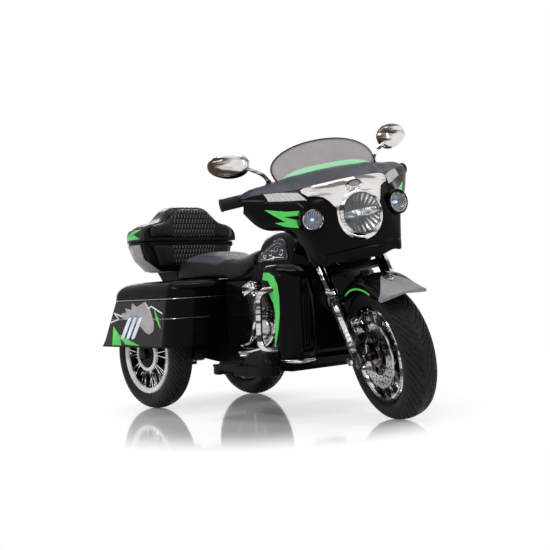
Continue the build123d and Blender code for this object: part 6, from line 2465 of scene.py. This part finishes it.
    def pads(self) -> None:
        """Makes the two pads on the trunk's front."""
        half = [(146, 467), (151, 478), (149, 492), (139, 503), (116, 510), (96, 516), (82, 527),
                (68, 542), (52, 552), (30, 555.5), (0, 556)]
        upper = [(-y, z) for y, z in half] + half[-2::-1]
        lower = [(-118, 384), (-143, 452), (143, 452), (118, 384)]
        for name, points, body, depth, soft, finish, node in (
                ("trunk_backrest", upper, Body.LID, 15.5, 10, BACK_QUILT, "backrest_pad"),
                ("trunk_cushion", lower, Body.CHASSIS, 13.5, 8, LOW_QUILT, "trunk_back_pad")):
            shape = self.cushion(rounded(points, soft, 150), self.front + 0.4, depth)
            piece = add(name, shape, body, finish, "black_vinyl", (node,), sharp=70)
            puff(piece, VOXEL, 2.0)

    @staticmethod
    def cushion(outline: Arr, back: float, depth: float) -> Shape:
        """Pad of an outline (y, z): rings shrinking to the middle over a domed front.

        At a share s of the way in, the front stands at d·(1 − (1 − 5.5 s)^2.4), up to its full
        depth d, with a groove and a fuller bolster on each side.
        """
        middle = np.array([0.0, outline[:, 1].mean()])
        rings = [at_station(back, middle + (outline - middle) * share)
                 for share in (0.05, 0.5, 0.96)]
        for s in np.concatenate([np.linspace(0.0, 0.16, 7), np.linspace(0.22, 0.97, 13)]):
            p = middle + (outline - middle) * (1 - s)
            away = np.abs(p[:, 0])
            bolster = 2.6 * smoothstep(away, 62, 84) * (1 - smoothstep(away, 118, 150))
            groove = 2.4 * np.exp(-((away - 64) / 3.2) ** 2)
            dome = 1 - (1 - min(1, s * 5.5)) ** 2.4
            x = back + (depth - 2.6 + bolster - groove) * dome + 0.6
            rings.append(np.column_stack([x, p]))
        return rings_loft(rings)


@dataclass
class Panniers:
    """Side cases: gloss walls, rounded lids, thin bright seams, bare film artwork and tail lamps."""

    out: float = 239.5
    low: float = 171.0
    split: float = 297.0
    rear: float = -168.0
    front: float = 206.0
    wall: float = 3.6
    taper: float = 16.0
    lamp: tuple[float, float] = (-168.0, 243.0)
    body: Body = Body.CHASSIS

    def share(self, z: Arr) -> Arr:
        """Share of the way up the wall."""
        return np.clip((np.asarray(z, float) - self.low) / (self.split - self.low), 0, 1)

    def plan(self, rear: float, front: float, out: float, share: float = 0.0) -> Arr:
        """Plan of the right case, its outer corners drawn in, the rear one more by a share."""
        out -= self.taper * share
        return rounded([(rear + 8, -70.5), (rear, -190 + 34 * share),
                        (rear + 6 + 42 * share, -out + 9), (rear + 16 + 52 * share, -out),
                        (158, -out), (front - 24, -out + 12), (front - 6, -out + 62),
                        (front, -out + 96), (front, -70.5)], 10, 200)

    def build(self) -> None:
        """Makes both sides."""
        add_sides(self.body, (
            ("case_{}_walls", self.walls(), GLOSS_BLACK, "black_gloss", "pannier_{}"),
            ("case_{}_lid", self.lid(), GLOSS_BLACK, "black_gloss", "pannier_lid_{}")), sharp=40)
        add_sides(self.body, (
            ("case_{}_seams", self.seams(), STEEL, "chrome"),
            *[(f"case_{{}}_{name}", shape, finish, "black_gloss")
              for name, shape, finish in self.art()],
            ("tail_{}_housing", self.housing(), SATIN_BLACK, "black_satin"),
            ("tail_{}_lens", self.lens(), RED_LENS, "red_lens", "tail_light_{}"),
            ("tail_{}_frame", self.lens_frame(), CHROME, "chrome")))

    def rake(self, z: float) -> float:
        """X of the rear edge: forward with height, swept back to a small lip at the foot."""
        return self.rear - 2 + 0.06 * (z - 240) - 6 * (1 - smoothstep(z, 171, 186))

    def ring(self, z: float, inset: float) -> Arr:
        """Plan of the walls at a height, drawn in by inset."""
        plan = self.plan(self.rake(z) + inset, self.front - inset, self.out - inset, self.share(z))
        return at_height(z, plan)

    def walls(self) -> Shape:
        """Outer walls, the inner walls behind them and the rim: open below for the wheel."""
        rings = [self.ring(z, inset) for z, inset in (
            (171.2, 3.0), (171, 0.6), (173, 0), *[(z, 0.0) for z in np.linspace(178, 291, 12)],
            (295.5, 0.4), (296.6, 2))]
        for z in (296.6, 240, 171.2):
            ring = self.ring(z, self.wall)
            ring[:, 1] = np.minimum(ring[:, 1], -74)
            rings.append(ring)
        return grid(np.stack(rings), wrap_u=True, wrap_v=True)

    def lid(self) -> Shape:
        """Domed lid: the plan shrinks as it rises, lower towards the rear."""
        rings = []
        for level, inset in ((0, 0.6), (0.02, 0), (0.28, 0), (0.45, 0.8), (0.6, 2.6), (0.74, 6),
                             (0.85, 11), (0.93, 18), (0.98, 28), (1.0, 46), (1.0, 66)):
            x, y = self.plan(self.rake(300) + inset, self.front - inset * 0.75, self.out - inset,
                             1 + 0.1 * level).T
            top = np.interp(x, [-170, -158, -140, -110, -70, 0, 130, 206],
                            [304, 316, 326, 335, 341.5, 345, 345.6, 342])
            crown = self.split + 0.8 + (top - self.split - 0.8) * level
            rings.append(np.stack([x, np.minimum(y, -70.5 - 0.05 * inset), crown], -1))
        return rings_loft([rings[0] - [0, 0, 0.2], *rings])

    def seams(self) -> Shape:
        """Two thin bright lines round the case: at the lid and across the middle."""
        lines = []
        for z, grow, r in ((297.2, 0.3, 0.9), (246, 0.1, 0.6)):
            ring = self.ring(z, -grow)
            keep = ring[ring[:, 1] < -80]
            order = np.argsort(np.arctan2(keep[:, 1] + 150, keep[:, 0] - 20))
            lines.append(sweep(self.longest(keep[order]), circle(r, 8)))
        return join(lines)

    @staticmethod
    def longest(path: Arr) -> Arr:
        """The run of points starting after the widest gap between neighbours."""
        gap = np.linalg.norm(np.diff(np.vstack([path, path[:1]]), axis=0), axis=1)
        return np.roll(path, -(int(np.argmax(gap)) + 1), axis=0)

    def side_at(self, _: Arr, z: Arr) -> Arr:
        """Distance of the outer wall from the middle at a height."""
        return self.out - self.taper * self.share(z)

    def film(self, first: Points, second: Points, lift: float) -> Shape:
        """Thin film on the case's outer wall."""
        return side_patch(first, second, self.side_at, lift, 0.9, 60, 9)

    def art(self) -> list[tuple[str, Shape, Finish]]:
        """Side artwork: a field, a jagged burst, pale strokes, green triangles, blank marks."""
        field_film = self.film([(-99, 293), (-90, 293), (150, 293)],
                               [(-150, 175), (-140, 175), (144, 175)], 0.25)
        burst = self.film([(-66, 262), (-38, 266), (-50, 277), (-16, 272), (-14, 290), (10, 279),
                           (52, 293), (78, 272), (100, 238), (102, 218)],
                          [(-60, 248), (-35, 246), (-15, 242), (0, 238), (20, 232), (36, 226),
                           (50, 218), (62, 211), (80, 206), (96, 212)], 0.6)
        strokes = [self.film(edge, np.array(edge) - [0, 3.4], 0.95) for edge in (
            ((-122, 240), (-78, 249), (-108, 266), (-62, 256)),
            ((52, 292), (70, 276), (84, 281), (138, 262)))]
        green = [self.film(first, second, 0.9) for first, second in (
            ([(-106, 228), (-66, 200)], [(-106, 176), (-58, 176)]),
            ([(-66, 205), (-16, 190), (34, 177)], [(-64, 195), (-34, 178), (33, 176)]),
            ([(101, 270), (120, 248), (136, 222)], [(100, 268), (110, 246), (130, 224)]))]
        return [("field", field_film, SIDE_BROWN), ("burst", burst, FILM_GREY),
                ("strokes", join(strokes), FILM_WHITE), ("green", join(green), GREEN),
                ("mark_edges", self.leaning_marks(2.6, 0.8), FILM_BLUE),
                ("blank_marks", self.leaning_marks(0, 1.1), FILM_WHITE)]

    def leaning_marks(self, grow: float, lift: float) -> Shape:
        """Three tall leaning marks, blank, each a squarish outline split into its two sides."""
        across, up = squarish(1.0, 1.0, 4.0, 48).T
        marks = []
        for middle in (-36.0, -9.0, 18.0):
            x = middle + (8.5 + grow) * across + 0.6 * (29 + grow) * up
            p = np.stack([x, 223 + (29 + grow) * up], -1)
            half = len(p) // 2
            marks.append(self.film(p[:half + 1], np.vstack([p[:1], p[:half - 1:-1]]), lift))
        return join(marks)

    def housing(self) -> Shape:
        """Dark housing of the tail lamp, sunk in the case's rear."""
        return block((self.rear - 2, -self.out + 49, 225), (self.rear + 40, -self.out + 94, 261),
                     4, 6)

    def lens(self) -> Shape:
        """Tail lamp lens, a raised block with a ribbed face."""
        y, z = self.lamp
        flat = plate(squarish(17, 22, 5, 64), 11, (self.rear + 3, y, z), UP, LEFTWARD, 3)
        x = self.rear - 9.2
        ribs = [straight((x, y - 17, level), (x, y + 17, level), 1.4, 10)
                for level in z + np.arange(-12, 13, 6)]
        return join([flat, *ribs])

    def lens_frame(self) -> Shape:
        """Bright frame round the tail lamp."""
        path = at_station(self.rear - 3.5, squarish(25, 20, 5, 80) + self.lamp)
        return sweep(np.vstack([path, path[:1]]), circle(2.2, 10), (1, 0, 0.02))


# ------------------------------------------------------------------ carried-over nodes, stage, camera
NODE_FINISHES: dict[str, Finish] = {
    "body_shell": GLOSS_BLACK, "belly_pan": SATIN_BLACK, "battery": SOFT_BLACK, "head_tube": SATIN_BLACK,
    "rear_deck": SATIN_BLACK, "rear_axle": STEEL, "gearbox_right": SOFT_BLACK, "gearbox_left": SOFT_BLACK,
    "steering_stem": SATIN_BLACK, "fairing_bracket": SATIN_BLACK, "front_axle": CHROME,
    "handlebar": SATIN_BLACK, "dash_panel": SOFT_BLACK,
}


@dataclass
class Stage:
    """Pale floor with a faint gloss, soft lamps and a white surround."""

    floor_half: float = 30.0
    lamps: tuple = (
        ("key", (0.5, -3.1, 3.0), (0.1, 0.0, 0.25), (2.4, 0.5), 62.0),
        ("front", (3.4, 0.7, 2.0), (0.3, 0.0, 0.3), (0.5, 1.5), 34.0),
        ("back", (-3.0, 1.4, 2.4), (0.0, 0.0, 0.3), (1.8, 0.5), 40.0),
        ("over", (-0.2, 0.1, 3.4), (0.0, 0.0, 0.0), (2.6, 0.8), 34.0),
    )

    def build(self) -> None:
        """Makes the floor, the lamps and the world."""
        half = self.floor_half
        mesh = bpy.data.meshes.new("floor")
        corners = [(-half, -half, 0), (half, -half, 0), (half, half, 0), (-half, half, 0)]
        mesh.from_pydata(corners, [], [(0, 1, 2, 3)])
        floor = bpy.data.objects.new("floor", mesh)
        bpy.context.scene.collection.objects.link(floor)
        mesh.materials.append(self.floor_material())
        [self.lamp(*settings) for settings in self.lamps]
        self.world()

    @staticmethod
    def floor_material() -> bpy.types.Material:
        """White matt floor with a little mirror mixed in."""
        tree = Tree("floor_white")
        haze = tree.noise(0.8, 2)
        x, y, _ = tree.axes(tree.place())
        away = (x * x + y * y).step(0.1, 0.36, 0.08, 1.0)
        ray = tree.node("ShaderNodeLightPath", {}, {})
        seen = ray["Is Camera Ray"] + ray["Is Glossy Ray"] + ray["Is Transmission Ray"]
        seen = seen.at_most(1.0)
        pale = tree.mix(haze, (0.97,) * 3, (0.985,) * 3)
        plain = tree.node("ShaderNodeBsdfDiffuse", {}, {"Color": pale})[0]
        shine = tree.node("ShaderNodeBsdfGlossy", {}, {"Color": (1.0,) * 3, "Roughness": 0.07})[0]
        white = tree.node("ShaderNodeEmission", {}, {"Color": (1.0,) * 3, "Strength": 1.0})[0]
        matt = tree.node("ShaderNodeMixShader", {}, {0: 0.68, 1: plain, 2: shine})[0]
        whole = tree.node("ShaderNodeMixShader", {}, {0: away * seen, 1: matt, 2: white})[0]
        tree.links.new(whole.link, tree.end.inputs["Surface"])
        tree.nodes.remove(tree.shader)
        return tree.material

    @staticmethod
    def lamp(name: str, place: tuple, aim: tuple, size: tuple, power: float) -> bpy.types.Object:
        """Strip lamp of a size in metres and a power in watts, facing a point."""
        data = bpy.data.lights.new(name, "AREA")
        data.shape, data.size, data.size_y, data.energy = "RECTANGLE", *size, power
        lamp = bpy.data.objects.new(name, data)
        bpy.context.scene.collection.objects.link(lamp)
        lamp.location = place
        lamp.rotation_euler = (Vector(aim) - Vector(place)).to_track_quat("-Z", "Y").to_euler()
        return lamp

    @staticmethod
    def world() -> None:
        """White for the camera and for mirror rays, dimmer as a light."""
        world = bpy.data.worlds.new("surround")
        bpy.context.scene.world = world
        world.use_nodes = True
        nodes, links = world.node_tree.nodes, world.node_tree.links
        nodes.clear()
        ray = nodes.new("ShaderNodeLightPath")
        first = nodes.new("ShaderNodeMath")
        second = nodes.new("ShaderNodeMath")
        for node in (first, second):
            node.operation, node.use_clamp = "ADD", True
        links.new(ray.outputs["Is Camera Ray"], first.inputs[0])
        links.new(ray.outputs["Is Glossy Ray"], first.inputs[1])
        links.new(first.outputs[0], second.inputs[0])
        links.new(ray.outputs["Is Transmission Ray"], second.inputs[1])
        dim, bright = nodes.new("ShaderNodeBackground"), nodes.new("ShaderNodeBackground")
        for light, strength in ((dim, 0.45), (bright, 1.0)):
            light.inputs["Color"].default_value = (1, 1, 1, 1)
            light.inputs["Strength"].default_value = strength
        mix, out = nodes.new("ShaderNodeMixShader"), nodes.new("ShaderNodeOutputWorld")
        links.new(second.outputs[0], mix.inputs[0])
        links.new(dim.outputs[0], mix.inputs[1])
        links.new(bright.outputs[0], mix.inputs[2])
        links.new(mix.outputs[0], out.inputs[0])


@dataclass
class Camera:
    """Camera low in front of the right-hand side."""

    place: tuple[float, float, float] = (1.7776, -1.4957, 0.312)
    yaw: float = 139.8
    pitch: float = -0.78
    roll: float = 3.11
    lens: float = 59.37

    def build(self) -> None:
        """Sets the scene's camera from its heading, tilt and roll."""
        yaw, pitch, roll = (math.radians(a) for a in (self.yaw, self.pitch, self.roll))
        look = np.array([math.cos(yaw) * math.cos(pitch), math.sin(yaw) * math.cos(pitch),
                         -math.sin(pitch)])
        right = np.cross(look, UP)
        right /= np.linalg.norm(right)
        up = np.cross(right, look)
        right, up = (right * math.cos(roll) - up * math.sin(roll),
                     up * math.cos(roll) + right * math.sin(roll))
        data = bpy.data.cameras.new("camera")
        data.lens, data.sensor_width = self.lens, 36.0
        camera = bpy.data.objects.new("camera", data)
        bpy.context.scene.collection.objects.link(camera)
        matrix = np.eye(4)
        matrix[:3] = np.column_stack([right, up, -look, self.place])
        camera.matrix_world = Matrix(matrix.tolist())
        bpy.context.scene.camera = camera


def main() -> None:
    """Builds every sub-assembly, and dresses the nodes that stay."""
    logging.basicConfig(level=logging.INFO, format="%(name)s %(message)s")
    bpy.context.scene.view_settings.view_transform = "Standard"
    for part in (*[RearWheel(side) for side in Side], FrontWheel(), Fork(), Fairing(), Lamps(),
                 Screen(), Bars(), Tank(), LegShield(), Engine(), Boards(), Seat(), Trunk(),
                 Panniers()):
        part.build()
    for name, finish in NODE_FINISHES.items():
        dress_node(name, finish)
    Stage().build()
    Camera().build()


if __name__ == "__main__":
    main()
